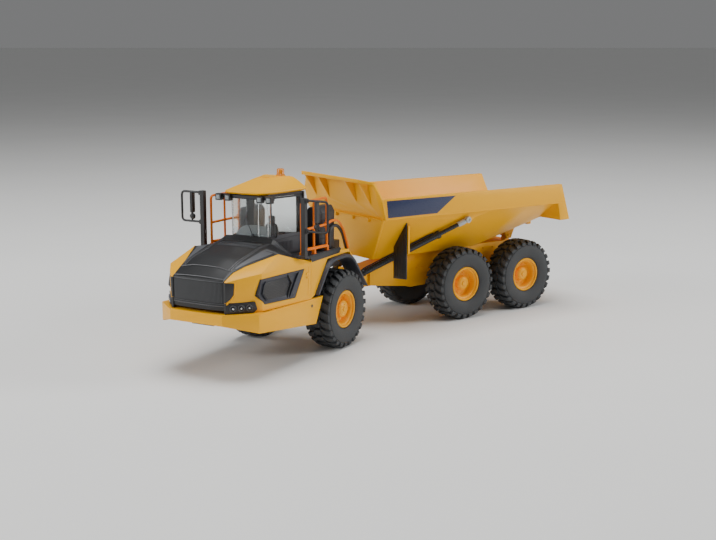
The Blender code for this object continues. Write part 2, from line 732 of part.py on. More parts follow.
def bonnet():
    """Black lid with the grille face, hinged along its front lower edge."""
    t = PANEL_THICK
    rings = []
    for x, centre, crease, edge_y, edge_z in BONNET_STATIONS:
        half = [(edge_y, edge_z), (CREASE_Y, crease), (CREASE_Y * 0.5, centre - 0.4)]
        outer = half + [(-y, z) for y, z in reversed(half)]
        inner = [(y, z - t) for y, z in reversed(outer)]
        rings.append([(x, y, z) for y, z in outer + inner])
    lid = loft(rings)
    x, _, _, edge_y, edge_z = BONNET_STATIONS[-1]
    face = prism_x([(-edge_y, BONNET_LOW_Z), (edge_y, BONNET_LOW_Z), (edge_y, edge_z - 1),
                    (CREASE_Y, 139.5), (-CREASE_Y, 139.5), (-edge_y, edge_z - 1)], x - t, x)
    bulge = loft([[(x - 1, -36, z), (x - 1, 36, z), (BONNET_FRONT_X, 30, z), (BONNET_FRONT_X, -30, z)]
                  for z in (BONNET_LOW_Z, 139.0)])
    return union(lid, face, bulge)


def panel_side_y(x):
    """Outer half width of the side panel's lower face."""
    if x > 304:
        return between(x, 304, 76, 338, 44.5)
    return between(x, 304, 76, PANEL_REAR_X, BODY_HALF)


def bonnet_edge(x):
    """Edge (y, z) of the bonnet at one station."""
    for near, far in zip(BONNET_STATIONS, BONNET_STATIONS[1:]):
        if near[0] <= x <= far[0]:
            return (between(x, near[0], near[3], far[0], far[3]),
                    between(x, near[0], near[4], far[0], far[4]))
    return None


def intake_outline(grow):
    """Six-cornered side intake outline (x, z), grown by a clearance."""
    corners = [(301, 138), (307, 117), (293, 103), (222, 99), (199, 136)]
    centre_x = sum(x for x, _ in corners) / len(corners)
    centre_z = sum(z for _, z in corners) / len(corners)
    return [(x + grow * math.copysign(1, x - centre_x), z + grow * math.copysign(1, z - centre_z))
            for x, z in corners]


def lamp_plan(grow):
    """Plan outline of one headlamp housing on the left front chamfer."""
    along = Vector((304 - 338, 76 - 44.5, 0)).normalized()
    out = Vector((-along.y, along.x, 0)) * -1
    start = Vector((338, 44.5, 0)) + along * (4 - grow)
    end = Vector((338, 44.5, 0)) + along * (38 + grow)
    front, back = out * (0.5 + grow), out * -(6 + grow)
    return [(p.x, p.y) for p in (start + front, end + front, end + back, start + back)]


def side_panel(sign):
    """Yellow shoulder and side beside the bonnet, hollow behind."""
    t = PANEL_THICK
    rings = []
    stations = [(PANEL_REAR_X, (78.5, 145.0), 142.0), (BONNET_REAR_X, None, 144.0), (250.0, None, 145.0),
                (299.0, None, 146.0), (320.0, None, 142.0), (338.0, None, 137.0)]
    for x, top, shoulder_z in stations:
        if top is None:
            y, z = bonnet_edge(x)
            top = (y + 0.5, z - 0.4)
        side = panel_side_y(x)
        low = bumper_top(x) + GAP
        shoulder = (max(side, top[0] + 1.2), min(shoulder_z, top[1] - 1))
        inner = top[0] - 0.2
        rings.append([(x, top[0], top[1]), (x, *shoulder), (x, side, low), (x, max(side - t, inner), low),
                      (x, max(shoulder[0] - t, inner), shoulder[1] - 2), (x, inner, top[1] - t)])
    panel = loft(rings)
    hole = prism_y(intake_outline(GAP), 60, 95)
    lamp = prism_z(lamp_plan(GAP), 90, 109 + GAP)
    panel = cut(panel, hole, lamp)
    return panel if sign > 0 else reflected(panel)


def side_intake(sign):
    """Dark air intake panel let into the side panel."""
    outline = intake_outline(0)
    outer = [(x, panel_side_y(min(x, 304)) - 0.6, z) for x, z in outline]
    inner = [(x, y - 3.0, z) for x, y, z in outer]
    piece = loft([inner, outer])
    return piece if sign > 0 else reflected(piece)


def headlamp(sign):
    """Black lamp housing in the lower front corner."""
    piece = prism_z(lamp_plan(0), BUMPER_TOP + GAP, 109)
    return piece if sign > 0 else reflected(piece)


# ---- cab

def cab_outline(inset):
    """Plan outline of the cab, walls drawn in by an inset."""
    lean = math.atan2(CAB_REAR_HALF - CAB_FRONT_HALF, CAB_FRONT_X - CAB_REAR_X)
    front, rear = CAB_FRONT_X - inset, CAB_REAR_X + inset
    shift = inset / math.cos(lean)
    def half(x):
        return between(x, CAB_REAR_X, CAB_REAR_HALF, CAB_FRONT_X, CAB_FRONT_HALF) - shift
    return [(front, half(front)), (rear, half(rear)), (rear, -half(rear)), (front, -half(front))]


def cab_side_point(distance, inset=0.0, sign=1):
    """Point on a side wall, measured forward from the rear corner."""
    rear = Vector((CAB_REAR_X, CAB_REAR_HALF))
    front = Vector((CAB_FRONT_X, CAB_FRONT_HALF))
    along = (front - rear).normalized()
    inward = Vector((along.y, -along.x))
    point = rear + along * distance + inward * inset
    return (point.x, sign * point.y)


def side_slab(start, end, inset_out, inset_in, low, high, sign=1):
    """A slab lying along a cab side wall."""
    plan = [cab_side_point(start, inset_out, sign), cab_side_point(end, inset_out, sign),
            cab_side_point(end, inset_in, sign), cab_side_point(start, inset_in, sign)]
    return prism_z(plan, low, high)


def cab_shell():
    """Cab walls and floor, with a door opening and cut windows."""
    shell = prism_z(cab_outline(0), CAB_LOW, CAB_TOP)
    mounts = [box((x, -16, FRONT_FRAME_TOP + GAP), (x + 12, 16, CAB_LOW + 1)) for x in (156, 194)]
    shell = union(shell, *mounts)
    room = prism_z(cab_outline(CAB_WALL), CAB_LOW + CAB_FLOOR, CAB_TOP + 5)
    g = DOOR_GAP
    door = side_slab(DOOR_REAR - g, DOOR_FRONT + g, -5, 9, DOOR_LOW - g, DOOR_TOP + g)
    window = side_slab(DOOR_REAR + 2, DOOR_FRONT - 2, -5, 9, WINDOW_LOW, WINDOW_TOP, -1)
    windscreen = box((CAB_FRONT_X - 9, -CAB_FRONT_HALF + 5, WINDOW_LOW),
                     (CAB_FRONT_X + 5, CAB_FRONT_HALF - 5, WINDOW_TOP))
    back = box((CAB_REAR_X - 5, -36, WINDOW_LOW), (CAB_REAR_X + 9, 36, WINDOW_TOP))
    return cut(shell, room, door, window, windscreen, back)


def cab_glazing():
    """One clear moulding behind the windscreen, right and rear windows."""
    outer, inner = cab_outline(CAB_WALL + GAP), cab_outline(CAB_WALL + GAP + GLASS_THICK)
    loop = [outer[0], outer[3], outer[2], outer[1], inner[1], inner[2], inner[3], inner[0]]
    return prism_z(loop, WINDOW_LOW - 5, CAB_TOP - 1)


def cab_door():
    """Left door with a cut window."""
    door = side_slab(DOOR_REAR, DOOR_FRONT, 0, CAB_WALL, DOOR_LOW, DOOR_TOP)
    hole = side_slab(DOOR_REAR + 5, DOOR_FRONT - 5, -5, 9, WINDOW_LOW, DOOR_TOP - 5)
    return cut(door, hole)


def door_window():
    """Clear pane in the door."""
    return side_slab(DOOR_REAR + 5 + GAP, DOOR_FRONT - 5 - GAP, 1, 1 + GLASS_THICK,
                     WINDOW_LOW + GAP, DOOR_TOP - 5 - GAP)


def cab_roof():
    """Domed roof cap over the cab with an overhanging front."""
    base = [(232, -31), (232, 31), (190, 43), (146, 51.5), (139, 46), (139, -46), (146, -51.5), (190, -43)]
    crown = [(208, -19), (208, 19), (184, 28), (150, 36), (145, 32), (145, -32), (150, -36), (184, -28)]
    low = CAB_TOP + GAP
    wide = [(x + (1.5 if x > 160 else -1.5), y * 1.03) for x, y in base]
    rings = [[(x, y, low) for x, y in base], [(x, y, low + 3) for x, y in wide],
             [(x, y, low + 8) for x, y in [(x - (2 if x > 220 else 0), y * 0.98) for x, y in base]],
             [(x, y, ROOF_TOP - 1.5) for x, y in crown],
             [(x, y, ROOF_TOP) for x, y in [(x * 0.985 + 2.6, y * 0.88) for x, y in crown]]]
    roof = loft(rings)
    inside = cab_outline(CAB_WALL)
    small = [(between(x, 148, 152, 214, 200), y * 0.6) for x, y in inside]
    hollow = loft([[(x, y, low - 3) for x, y in inside], [(x, y, low + 6) for x, y in inside],
                   [(x, y, ROOF_TOP - 4) for x, y in small]])
    return cut(roof, hollow)


def driver_seat():
    """Seat with pedestal and back."""
    floor = CAB_LOW + CAB_FLOOR + GAP
    pedestal = box((158, -9, floor), (178, 9, 146))
    cushion = box((156, -13, 145), (184, 13, 153))
    back = prism_y([(156, 146), (163, 146), (160, 200), (154.8, 200)], -12, 12)
    return union(cushion, pedestal, back)


def dashboard():
    """Dash block with the steering column and wheel."""
    floor = CAB_LOW + CAB_FLOOR + GAP
    block = prism_y([(194, floor), (206, floor), (206, 178), (200, 180), (194, 174)], -21, 21)
    column = rod((197, 0, 158), (187.0, 0, 177.8), 2.2)
    return union(block, column, steering_wheel())


def steering_wheel():
    """Ring with a hub and one cross spoke, on the column's end."""
    centre = Vector((187.0, 0, 177.8))
    axis = Vector((-8.5, 0, 16.5)).normalized()
    ring = []
    for i in range(8):
        turn = math.tau * i / 8
        ring.append((9 + 1.2 * math.cos(turn), 2 + 1.2 * math.sin(turn)))
    rim_ring = lathe(ring, centre, axis, 24)
    hub = rod(centre, centre + axis * 2.5, 2.6)
    spoke = rod(centre + axis * 1.6 + Vector((0, -8.6, 0)), centre + axis * 1.6 + Vector((0, 8.6, 0)), 0.9)
    return union(rim_ring, hub, spoke)


def lamp_bar():
    """Bar of four work lamps under the roof's front edge."""
    top = CAB_TOP
    bar = box((222, -47, top - 6), (227, 47, top))
    arm = box((CAB_FRONT_X + GAP, -20, top - 5), (223, 20, top - 1))
    lamps = [box((224, y - 4.6, top - 9.5), (231, y + 4.6, top)) for y in (-42.4, -27, 27, 42.4)]
    return union(bar, arm, *lamps)


def windscreen_cowl():
    """Bulkhead strip between the bonnet's rear edge and the cab."""
    rear, front = CAB_FRONT_X + GAP, BONNET_REAR_X - GAP
    outline = mirrored([(75, PLATFORM_TOP - 3), (75, 154.5), (CREASE_Y, 178.0), (CAB_FRONT_HALF, 184.0)])
    return loft([[(rear, y, z if z < 180 else z + 1) for y, z in outline],
                 [(front, y, min(z, 178.0)) for y, z in outline]])


def platform(sign):
    """Side deck beside the cab, resting on the fender."""
    low, high = FENDER_TOP + GAP, FENDER_TOP + GAP + PLATFORM_THICK
    def clear(x):
        return between(x, CAB_REAR_X, CAB_REAR_HALF, CAB_FRONT_X, CAB_FRONT_HALF) + 0.6
    edge = BODY_HALF - 0.5
    plan = [(PLATFORM_REAR_X, PLATFORM_INNER), (CAB_REAR_X - 1, PLATFORM_INNER),
            (CAB_REAR_X - 1, clear(CAB_REAR_X)), (CAB_FRONT_X, clear(CAB_FRONT_X)),
            (CAB_FRONT_X, PLATFORM_NOTCH_Y), (PLATFORM_NOTCH_X, PLATFORM_NOTCH_Y),
            (PLATFORM_NOTCH_X, edge), (PLATFORM_REAR_X, edge)]
    deck = prism_z(plan, low, high)
    return deck if sign > 0 else reflected(deck)


def rear_deck():
    """Tunnel-shaped deck behind the cab, standing on the frame."""
    low, top = FRONT_FRAME_TOP + GAP, FENDER_TOP + GAP + PLATFORM_THICK
    half = PLATFORM_INNER - GAP
    shape = mirrored([(10, low), (10, top - 10), (half - 5, top - 10), (half - 5, 112), (half, 112), (half, top)])
    return prism_x(shape, DECK_REAR_X, CAB_REAR_X - 1.3)


ARCH_OUTER = ((172.0, 94.0), (137.0, 140.0), (74.0, 141.0), (25.0, 81.0))
ARCH_INNER = ((166.9, 93.7), (134.4, 134.8), (76.3, 135.9), (30.2, 82.2))


def fender(sign):
    """Yellow fender above the arch trim, with its inner liner."""
    front = PANEL_REAR_X - GAP
    outline = [(front, bumper_top(front) + GAP), (front, 144.5), (front - 3, FENDER_TOP), (96, FENDER_TOP),
               (76, 145.5), (54, 124), (57.4, 121.4), (74, 141.4), (137.2, 140.4), (172.4, 94.2)]
    piece = prism_y(outline, CAB_REAR_HALF + 0.4, BODY_HALF)
    return piece if sign > 0 else reflected(piece)


def arch_trim(sign):
    """Dark grey band around the wheel arch."""
    outline = list(ARCH_OUTER) + list(reversed(ARCH_INNER))
    piece = prism_y(outline, 60, BODY_HALF + 5)
    return piece if sign > 0 else reflected(piece)


def mirror(sign):
    """Post, bracket loop and mirror heads in one moulding."""
    foot = PLATFORM_TOP + GAP
    post = box((MIRROR_X - 3.5, MIRROR_Y - 3.2, foot + 2.6), (MIRROR_X + 3.5, MIRROR_Y + 3.2, MIRROR_TOP))
    pad = box((MIRROR_X - 4, 76, foot + 1.9), (MIRROR_X + 4, MIRROR_Y + 3.7, foot + 5))
    low, high, out = MIRROR_TOP - 46, MIRROR_TOP - 3, MIRROR_OUT
    corner = 5
    path = [(MIRROR_Y, high), (out - corner, high), (out, high - corner), (out, low + corner),
            (out - corner, low), (MIRROR_Y, low)]
    loop = sweep([(MIRROR_X, y, z) for y, z in path], 1.7)
    head = box((MIRROR_X - 9, 103, low + 12), (MIRROR_X + 7, 109, high + 1))
    small = rod((MIRROR_X - 5, 106, low + 7), (MIRROR_X + 3, 106, low + 7), 6, 16)
    stem = rod((MIRROR_X, 106, low + 0.2), (MIRROR_X, 106, low + 14), 1.5, 8)
    piece = union(post, pad, loop, head, small, stem)
    return piece if sign > 0 else reflected(piece)


def handrail(sign):
    """Orange guard rail along the platform with the rear arch."""
    y, foot = RAIL_Y - 3, PLATFORM_TOP + GAP
    front, rear, top, mid = RAIL_FRONT_X, RAIL_REAR_X, RAIL_HEIGHT, RAIL_MID
    arch = [(rear, mid), (rear - 16, mid + 4), (rear - 34, mid + 1), (rear - 48, mid - 14),
            (rear - 58, mid - 34), (rear - 62, FENDER_TOP - 1)]
    runs = [[(front, foot + 1), (front, top - 4), (front - 4, top), (rear + 4, top), (rear, top - 4),
             (rear, foot + 1)],
            [(front, mid), (rear, mid)], [(168, foot + 1), (168, top)], arch]
    tubes = [sweep([(x, y, z) for x, z in run], RAIL_RADIUS) for run in runs]
    feet = [box((x - 2.6, y - 3, foot), (x + 2.6, y + 3, foot + 2)) for x in (front, 168, rear)]
    piece = union(*tubes, *feet)
    return piece if sign > 0 else reflected(piece)


def air_cleaner():
    """Black box with a rounded top behind the cab on the left."""
    foot = PLATFORM_TOP + GAP
    return prism_x([(48, foot), (70, foot), (71, 206), (66, 214), (52, 214), (47, 206)], 100, 142)


def exhaust():
    """Silencer box and stack behind the cab on the right."""
    foot = PLATFORM_TOP + GAP
    can = prism_x([(-48, foot), (-70, foot), (-71, 200), (-66, 206), (-52, 206), (-47, 200)], 102, 142)
    stack = rod((122, -59, 200), (122, -59, 236), 5, 20)
    pipe = union(can, stack)
    return cut(pipe, rod((122, -59, 214), (122, -59, 240), 3.8, 16))


def engine_block():
    """Plain engine block under the bonnet."""
    x0, x1 = ENGINE_X
    return box((x0, -ENGINE_HALF, FRONT_FRAME_TOP + GAP), (x1, ENGINE_HALF, ENGINE_TOP))


def beacon():
    """Amber warning beacon on the roof."""
    base = ROOF_TOP + GAP
    return lathe([(0, 0), (6.3, 0), (6.3, 2), (5.4, 2.4), (5.2, 9.5), (4.2, 10.5), (0, 10.5)],
                 (156, 14, base), (0, 0, 1), 20)


def build_front_unit(rear_unit):
    """Everything ahead of the hitch, in the front unit's own frame."""
    unit = Pivot("steering_axis", (HITCH_X, 0, 0), rear_unit, HITCH_TURN, starts_unit=True)
    unit.hold("front_frame", "black", front_frame())
    unit.hold("front_axle", "black", axle(FRONT_AXLE_X))
    add_wheels(unit, "front", FRONT_AXLE_X)
    unit.hold("engine_block", "dark_grey", engine_block())
    unit.hold("bumper", "yellow", bumper())
    unit.hold("windscreen_cowl", "grey", windscreen_cowl())
    unit.hold("rear_deck", "black", rear_deck())
    unit.hold("cab_shell", "black", cab_shell())
    unit.hold("cab_glazing", "glass", cab_glazing())
    unit.hold("cab_roof", "yellow", cab_roof())
    unit.hold("driver_seat", "dark_grey", driver_seat())
    unit.hold("dashboard", "dark_grey", dashboard())
    unit.hold("work_lamp_bar", "black", lamp_bar())
    unit.hold("beacon", "amber", beacon())
    unit.hold("air_cleaner", "black", air_cleaner())
    unit.hold("exhaust", "black", exhaust())
    for side, sign in (("left", 1), ("right", -1)):
        unit.hold(f"{side}_side_panel", "yellow", side_panel(sign))
        unit.hold(f"{side}_air_intake", "dark_grey", side_intake(sign))
        unit.hold(f"{side}_headlamp", "black", headlamp(sign))
        unit.hold(f"{side}_fender", "yellow", fender(sign))
        unit.hold(f"{side}_arch_trim", "dark_grey", arch_trim(sign))
        unit.hold(f"{side}_platform", "black", platform(sign))
        unit.hold(f"{side}_handrail", "orange", handrail(sign))
        unit.hold(f"{side}_mirror", "black", mirror(sign))

    lid = Pivot("bonnet_axis", (BONNET_HINGE[0], 0, BONNET_HINGE[1]), unit)
    lid.hold("bonnet", "black", bonnet())

    hinge_x, hinge_y = cab_side_point(DOOR_REAR)
    door = Pivot("door_axis", (hinge_x, hinge_y, DOOR_LOW), unit)
    door.hold("cab_door", "dark_grey", cab_door())
    door.hold("door_window", "glass", door_window())
    return unit


def centre_on_floor(root):
    """Put the whole model's bottom centre at the world origin."""
    bpy.context.view_layer.update()
    corners = [o.matrix_world @ v.co for o in bpy.data.objects if o.type == "MESH" for v in o.data.vertices]
    low = Vector([min(c[i] for c in corners) for i in range(3)])
    high = Vector([max(c[i] for c in corners) for i in range(3)])
    middle = (low + high) / 2
    root.empty.location -= Vector((middle.x, middle.y, low.z))
    bpy.context.view_layer.update()


def main():
    """Build both units and set the model on the floor."""
    for leftover in list(bpy.data.objects):
        bpy.data.objects.remove(leftover)
    rear = build_rear_unit()
    build_front_unit(rear)
    centre_on_floor(rear)


main()
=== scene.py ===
"""Looks of a toy articulated dump truck, built round its packed jointed frame.

Sizes are in millimetres and are turned to metres when a mesh is made.  Two
layouts share the work: the rear unit's, with its origin on the floor under
the middle axle, and the front unit's, with its origin on the floor under the
hitch.  In both X points forward, Y to that unit's left and Z up.
"""
from __future__ import annotations

import json
import logging
import math
from dataclasses import dataclass, field
from enum import Enum

import bmesh
import bpy
import numpy as np
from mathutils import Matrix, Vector

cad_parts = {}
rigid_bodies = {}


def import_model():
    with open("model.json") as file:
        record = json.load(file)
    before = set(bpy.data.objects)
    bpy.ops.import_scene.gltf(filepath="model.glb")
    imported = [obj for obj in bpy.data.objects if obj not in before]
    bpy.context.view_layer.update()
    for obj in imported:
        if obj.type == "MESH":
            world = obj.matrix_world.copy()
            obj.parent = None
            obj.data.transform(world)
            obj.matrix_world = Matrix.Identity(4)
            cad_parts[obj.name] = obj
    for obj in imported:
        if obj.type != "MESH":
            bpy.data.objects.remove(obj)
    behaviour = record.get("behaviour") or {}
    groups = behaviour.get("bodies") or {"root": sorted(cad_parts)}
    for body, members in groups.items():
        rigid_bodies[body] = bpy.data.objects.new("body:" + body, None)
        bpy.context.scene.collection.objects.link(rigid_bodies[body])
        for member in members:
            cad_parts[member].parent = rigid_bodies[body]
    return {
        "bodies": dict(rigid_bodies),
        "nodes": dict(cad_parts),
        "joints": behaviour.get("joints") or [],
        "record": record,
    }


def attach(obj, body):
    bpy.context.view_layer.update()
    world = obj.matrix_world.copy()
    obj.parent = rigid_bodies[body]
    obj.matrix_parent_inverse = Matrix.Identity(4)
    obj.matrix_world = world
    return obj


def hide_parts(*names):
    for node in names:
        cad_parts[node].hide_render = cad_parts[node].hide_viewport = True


LOG = logging.getLogger("dump_truck")
MM = 0.001
AXLE_HEIGHT = 58.5
FRONT_AXLE_X, MIDDLE_AXLE_X, REAR_AXLE_X = 95.0, 0.0, -135.0
Array = np.ndarray
Points = list[tuple[float, float]]


class Side(Enum):
    """The two sides of the truck, as the sign of Y."""

    LEFT = 1
    RIGHT = -1

    @property
    def word(self) -> str:
        """The side's name as it stands in piece and node names."""
        return self.name.lower()


# ------------------------------------------------------------------ finishes

def linear(hex_colour: str) -> tuple[float, float, float, float]:
    """Turn an sRGB hex colour into linear RGBA.

    Args:
        hex_colour: a colour such as "#E8A81C".

    Returns:
        Linear red, green, blue and an alpha of 1.
    """
    channels = np.array([int(hex_colour[i:i + 2], 16) / 255 for i in (1, 3, 5)])
    values = np.where(channels <= 0.04045, channels / 12.92, ((channels + 0.055) / 1.055) ** 2.4)
    return (float(values[0]), float(values[1]), float(values[2]), 1.0)


def add_node(tree: bpy.types.NodeTree, kind: str, settings: dict | None = None,
             inputs: dict | None = None) -> bpy.types.Node:
    """Add one shader node with its settings, values and links.

    Args:
        tree: the node tree to add to.
        kind: the node's type name, such as "ShaderNodeTexNoise".
        settings: properties of the node itself.
        inputs: socket name or number to a value, or to an output socket that is linked in.

    Returns:
        The new node.
    """
    node = tree.nodes.new(kind)
    for name, value in (settings or {}).items():
        setattr(node, name, value)
    for name, value in (inputs or {}).items():
        if isinstance(value, bpy.types.NodeSocket):
            tree.links.new(value, node.inputs[name])
        else:
            node.inputs[name].default_value = value
    return node


@dataclass(frozen=True)
class Plastic:
    """Moulded plastic: an even colour, a faint grain and slight flow mottling."""

    name: str
    colour: str
    roughness: float = 0.4
    ior: float = 1.5
    grain_mm: float = 1.3       # real grain is near 0.1 mm; drawn coarser so that it shows
    grain_depth_mm: float = 0.02
    mottle: float = 0.06        # share by which the colour wanders
    mottle_mm: float = 45.0
    edge_mm: float = 0.35       # moulded edges are rounded about this much
    clear: float = 0.0          # share of light that passes through
    shine: float = 0.5          # 0.5 is the full reflection that the refractive index gives

    def build(self) -> bpy.types.Material:
        """Make the material once and return it."""
        found = bpy.data.materials.get(self.name)
        if found:
            return found
        made = bpy.data.materials.new(self.name)
        made.use_nodes = True
        tree = made.node_tree
        shader = tree.nodes["Principled BSDF"]
        base = linear(self.colour)
        shader.inputs["IOR"].default_value = self.ior
        shader.inputs["Transmission Weight"].default_value = self.clear
        shader.inputs["Specular IOR Level"].default_value = self.shine
        place = add_node(tree, "ShaderNodeTexCoord").outputs["Object"]
        flow = add_node(tree, "ShaderNodeTexNoise", {}, {
            "Vector": place, "Scale": 1 / (self.mottle_mm * MM), "Detail": 3.0, "Roughness": 0.5})
        dark = tuple(c * (1 - self.mottle) for c in base[:3]) + (1.0,)
        light = tuple(min(1.0, c * (1 + self.mottle)) for c in base[:3]) + (1.0,)
        ramp = add_node(tree, "ShaderNodeMix", {"data_type": "RGBA"}, {
            "Factor": flow.outputs["Fac"], 6: dark, 7: light})
        tree.links.new(ramp.outputs[2], shader.inputs["Base Color"])
        grain = add_node(tree, "ShaderNodeTexNoise", {}, {
            "Vector": place, "Scale": 1 / (self.grain_mm * MM), "Detail": 2.0, "Roughness": 0.6})
        matt = add_node(tree, "ShaderNodeMapRange", {}, {
            "Value": grain.outputs["Fac"], "From Min": 0.3, "From Max": 0.7,
            "To Min": max(0.02, self.roughness - 0.05), "To Max": min(1.0, self.roughness + 0.07)})
        tree.links.new(matt.outputs["Result"], shader.inputs["Roughness"])
        inputs = {"Height": grain.outputs["Fac"], "Strength": 0.35,
                  "Distance": self.grain_depth_mm * MM}
        if self.edge_mm > 0:
            edge = add_node(tree, "ShaderNodeBevel", {"samples": 4}, {"Radius": self.edge_mm * MM})
            inputs["Normal"] = edge.outputs["Normal"]
        bump = add_node(tree, "ShaderNodeBump", {}, inputs)
        tree.links.new(bump.outputs["Normal"], shader.inputs["Normal"])
        return made


@dataclass(frozen=True)
class FoiledPlastic:
    """Bright vacuum-metallised plastic, as on mirror faces and lamp bowls."""

    name: str
    colour: str
    roughness: float = 0.12

    def build(self) -> bpy.types.Material:
        """Make the material once and return it."""
        found = bpy.data.materials.get(self.name)
        if found:
            return found
        made = bpy.data.materials.new(self.name)
        made.use_nodes = True
        tree = made.node_tree
        shader = tree.nodes["Principled BSDF"]
        shader.inputs["Base Color"].default_value = linear(self.colour)
        shader.inputs["Metallic"].default_value = 1.0
        place = add_node(tree, "ShaderNodeTexCoord").outputs["Object"]
        haze = add_node(tree, "ShaderNodeTexNoise", {}, {"Vector": place, "Scale": 260.0, "Detail": 2.0})
        matt = add_node(tree, "ShaderNodeMapRange", {}, {
            "Value": haze.outputs["Fac"], "To Min": self.roughness * 0.7, "To Max": self.roughness * 1.6})
        tree.links.new(matt.outputs["Result"], shader.inputs["Roughness"])
        return made


Finish = Plastic | FoiledPlastic

SMOOTH = {"grain_depth_mm": 0.0, "edge_mm": 0.0}
FILM = {"grain_depth_mm": 0.005, "edge_mm": 0.0}

# Golden body moulding: low shine, so that the colour stays deep where light grazes it.
BODY_YELLOW = Plastic("yellow_abs_body_moulding", "#FFB600", 0.38, mottle=0.03, shine=0.28)
# The roof is a separate moulding of the same plastic.
ROOF_YELLOW = Plastic("yellow_abs_roof", "#FFB600", 0.38, mottle=0.03, shine=0.28)
# Rims look slightly redder and tighter in their highlights than the body.
RIM_YELLOW = Plastic("yellow_abs_rim_moulding", "#FFB200", 0.36, mottle=0.03, shine=0.28)
# Bent rails read as strong orange lines.
ORANGE = Plastic("orange_pp_rail", "#F07800", 0.38, shine=0.3)
# Decks, frame and small mouldings: a worn-in satin black.
BLACK = Plastic("black_abs_moulding", "#2B2B2D", 0.42, mottle=0.1)
# The lid is the deepest black, with a coarser grain that breaks its highlight.
BONNET_BLACK = Plastic("black_abs_bonnet", "#1F2022", 0.45, mottle=0.08, grain_depth_mm=0.03)
# Vent bars are charcoal plastic; the shoulder panels take the same lighter charcoal as a painted highlight of
# the lid's lit sloped sides.
VENT_AND_PAINTED_SHOULDER_GREY = Plastic("charcoal_abs_shoulder", "#56585C", 0.4, mottle=0.06)
# Raised lines on the lid and the nose grille's slats are a lighter charcoal than the lid: a painted highlight
# along their rounded edges.
PAINTED_EDGE_HIGHLIGHT = Plastic("satin_charcoal_abs", "#505154", 0.32, mottle=0.05)
# Seat, door and engine: a flat dark grey.
DARK = Plastic("anthracite_abs_moulding", "#4B4D52", 0.5)
# Arch trims and intakes: a cold slate, softer than the black beside it.
TRIM_GREY = Plastic("slate_grey_pp_trim", "#34363F", 0.45)
# The pad behind the windscreen is the one pale thing inside the cab.
COWL_GREY = Plastic("light_grey_abs_cowl", "#99A2A6", 0.45)
# Soft vinyl: matt, dusty and uneven, so the lugs show by shadow alone.
TYRE = Plastic("soft_vinyl_tyre", "#3E4042", 0.72, grain_mm=2.2, grain_depth_mm=0.05, mottle=0.14,
               mottle_mm=18.0)
# Nearly invisible windows with sharp, thin reflections.
CLEAR = Plastic("clear_polystyrene", "#F8FBFB", 0.03, 1.3, mottle=0.01, clear=1.0, shine=0.4, **SMOOTH)
# Amber and red caps hold some light inside.
AMBER = Plastic("amber_polystyrene", "#F39A14", 0.18, 1.49, clear=0.35, **SMOOTH)
RED = Plastic("red_polystyrene", "#B3180F", 0.2, 1.49, clear=0.2, **SMOOTH)
# Work lamps have dull pale fronts; headlamps are dark glossy domes.
LENS_WHITE = Plastic("frosted_lamp_lens", "#A9B0B2", 0.25, 1.49, clear=0.15, **SMOOTH)
SMOKED = Plastic("smoked_lamp_lens", "#3A3D40", 0.06, 1.49, **SMOOTH)
# Cylinders are smoother than all other blacks, with one long highlight.
ROD_BLACK = Plastic("polished_black_pom", "#303236", 0.25)
# Rod eyes and sleeves read as bright dots at the rods' ends.
ROD_EYE = Plastic("light_grey_pom", "#B9C0C4", 0.35)
# Decal films are flatter and glossier than the moulding under them.
FILM_NAVY = Plastic("navy_decal_film", "#2B3354", 0.3, **FILM)
FILM_BLACK = Plastic("black_decal_film", "#1D1E20", 0.32, **FILM)
# Mirror faces and lamp bulbs: bright foil with a little haze.
MIRROR = FoiledPlastic("silvered_mirror_foil", "#C9CED2", 0.06)
BRIGHT = FoiledPlastic("metallised_lamp_bowl", "#D9DCDD", 0.16)


# ------------------------------------------------------------------ layouts

@dataclass(frozen=True)
class Layout:
    """Where a unit's own millimetres lie in the shared frame."""

    origin: tuple[float, float, float]
    turn: float

    def place(self, points: Array) -> Array:
        """Turn and move points from this layout into the shared frame.

        Args:
            points: n by 3 array in millimetres.

        Returns:
            The points in metres in the shared frame.
        """
        c, s = math.cos(self.turn), math.sin(self.turn)
        turned = np.asarray(points, float) @ np.array([[c, s, 0], [-s, c, 0], [0, 0, 1]])
        return turned * MM + np.array(self.origin)


@dataclass
class Truck:
    """The loaded frame and the two layouts worked out from its joints."""

    frame: dict
    hitch_x: float = 214.0
    hitch_z: float = 76.0
    rear: Layout = field(init=False)
    front: Layout = field(init=False)

    def __post_init__(self) -> None:
        """Find both origins and the front unit's turn from the steering and bonnet joints."""
        joints = {joint["name"]: joint for joint in self.frame["joints"]}
        hitch = np.array(joints["steering"]["pos_m"], float)
        across = joints["bonnet_hinge"]["axis"]
        floor = hitch - np.array([0, 0, self.hitch_z * MM])
        self.front = Layout(tuple(floor), math.atan2(-across[0], across[1]))
        self.rear = Layout(tuple(floor - np.array([self.hitch_x * MM, 0, 0])), 0.0)

    def node(self, name: str) -> bpy.types.Object:
        """The CAD node of that name."""
        return self.frame["nodes"][name]


# ------------------------------------------------------------------ surfaces

@dataclass
class Surface:
    """Points in millimetres and the faces between them; several closed shells may share one."""

    points: Array
    faces: list[list[int]]

    def __add__(self, other: "Surface") -> "Surface":
        """Join two surfaces into one list of points and faces."""
        shift = len(self.points)
        return Surface(np.vstack([self.points, other.points]),
                       self.faces + [[i + shift for i in face] for face in other.faces])

    def moved(self, offset: tuple[float, float, float]) -> "Surface":
        """The same surface, shifted."""
        return Surface(self.points + np.array(offset, float), self.faces)

    def turned(self, matrix: Array) -> "Surface":
        """The same surface, its points multiplied by a 3 by 3 matrix from the left."""
        return Surface(self.points @ np.asarray(matrix, float).T, self.faces)

    def flipped(self) -> "Surface":
        """The mirror image across the XZ plane, its faces still pointing outward."""
        return Surface(self.points * np.array([1, -1, 1]), [face[::-1] for face in self.faces])


def joined(parts: list[Surface]) -> Surface:
    """Join any number of surfaces."""
    total = parts[0]
    for part in parts[1:]:
        total = total + part
    return total


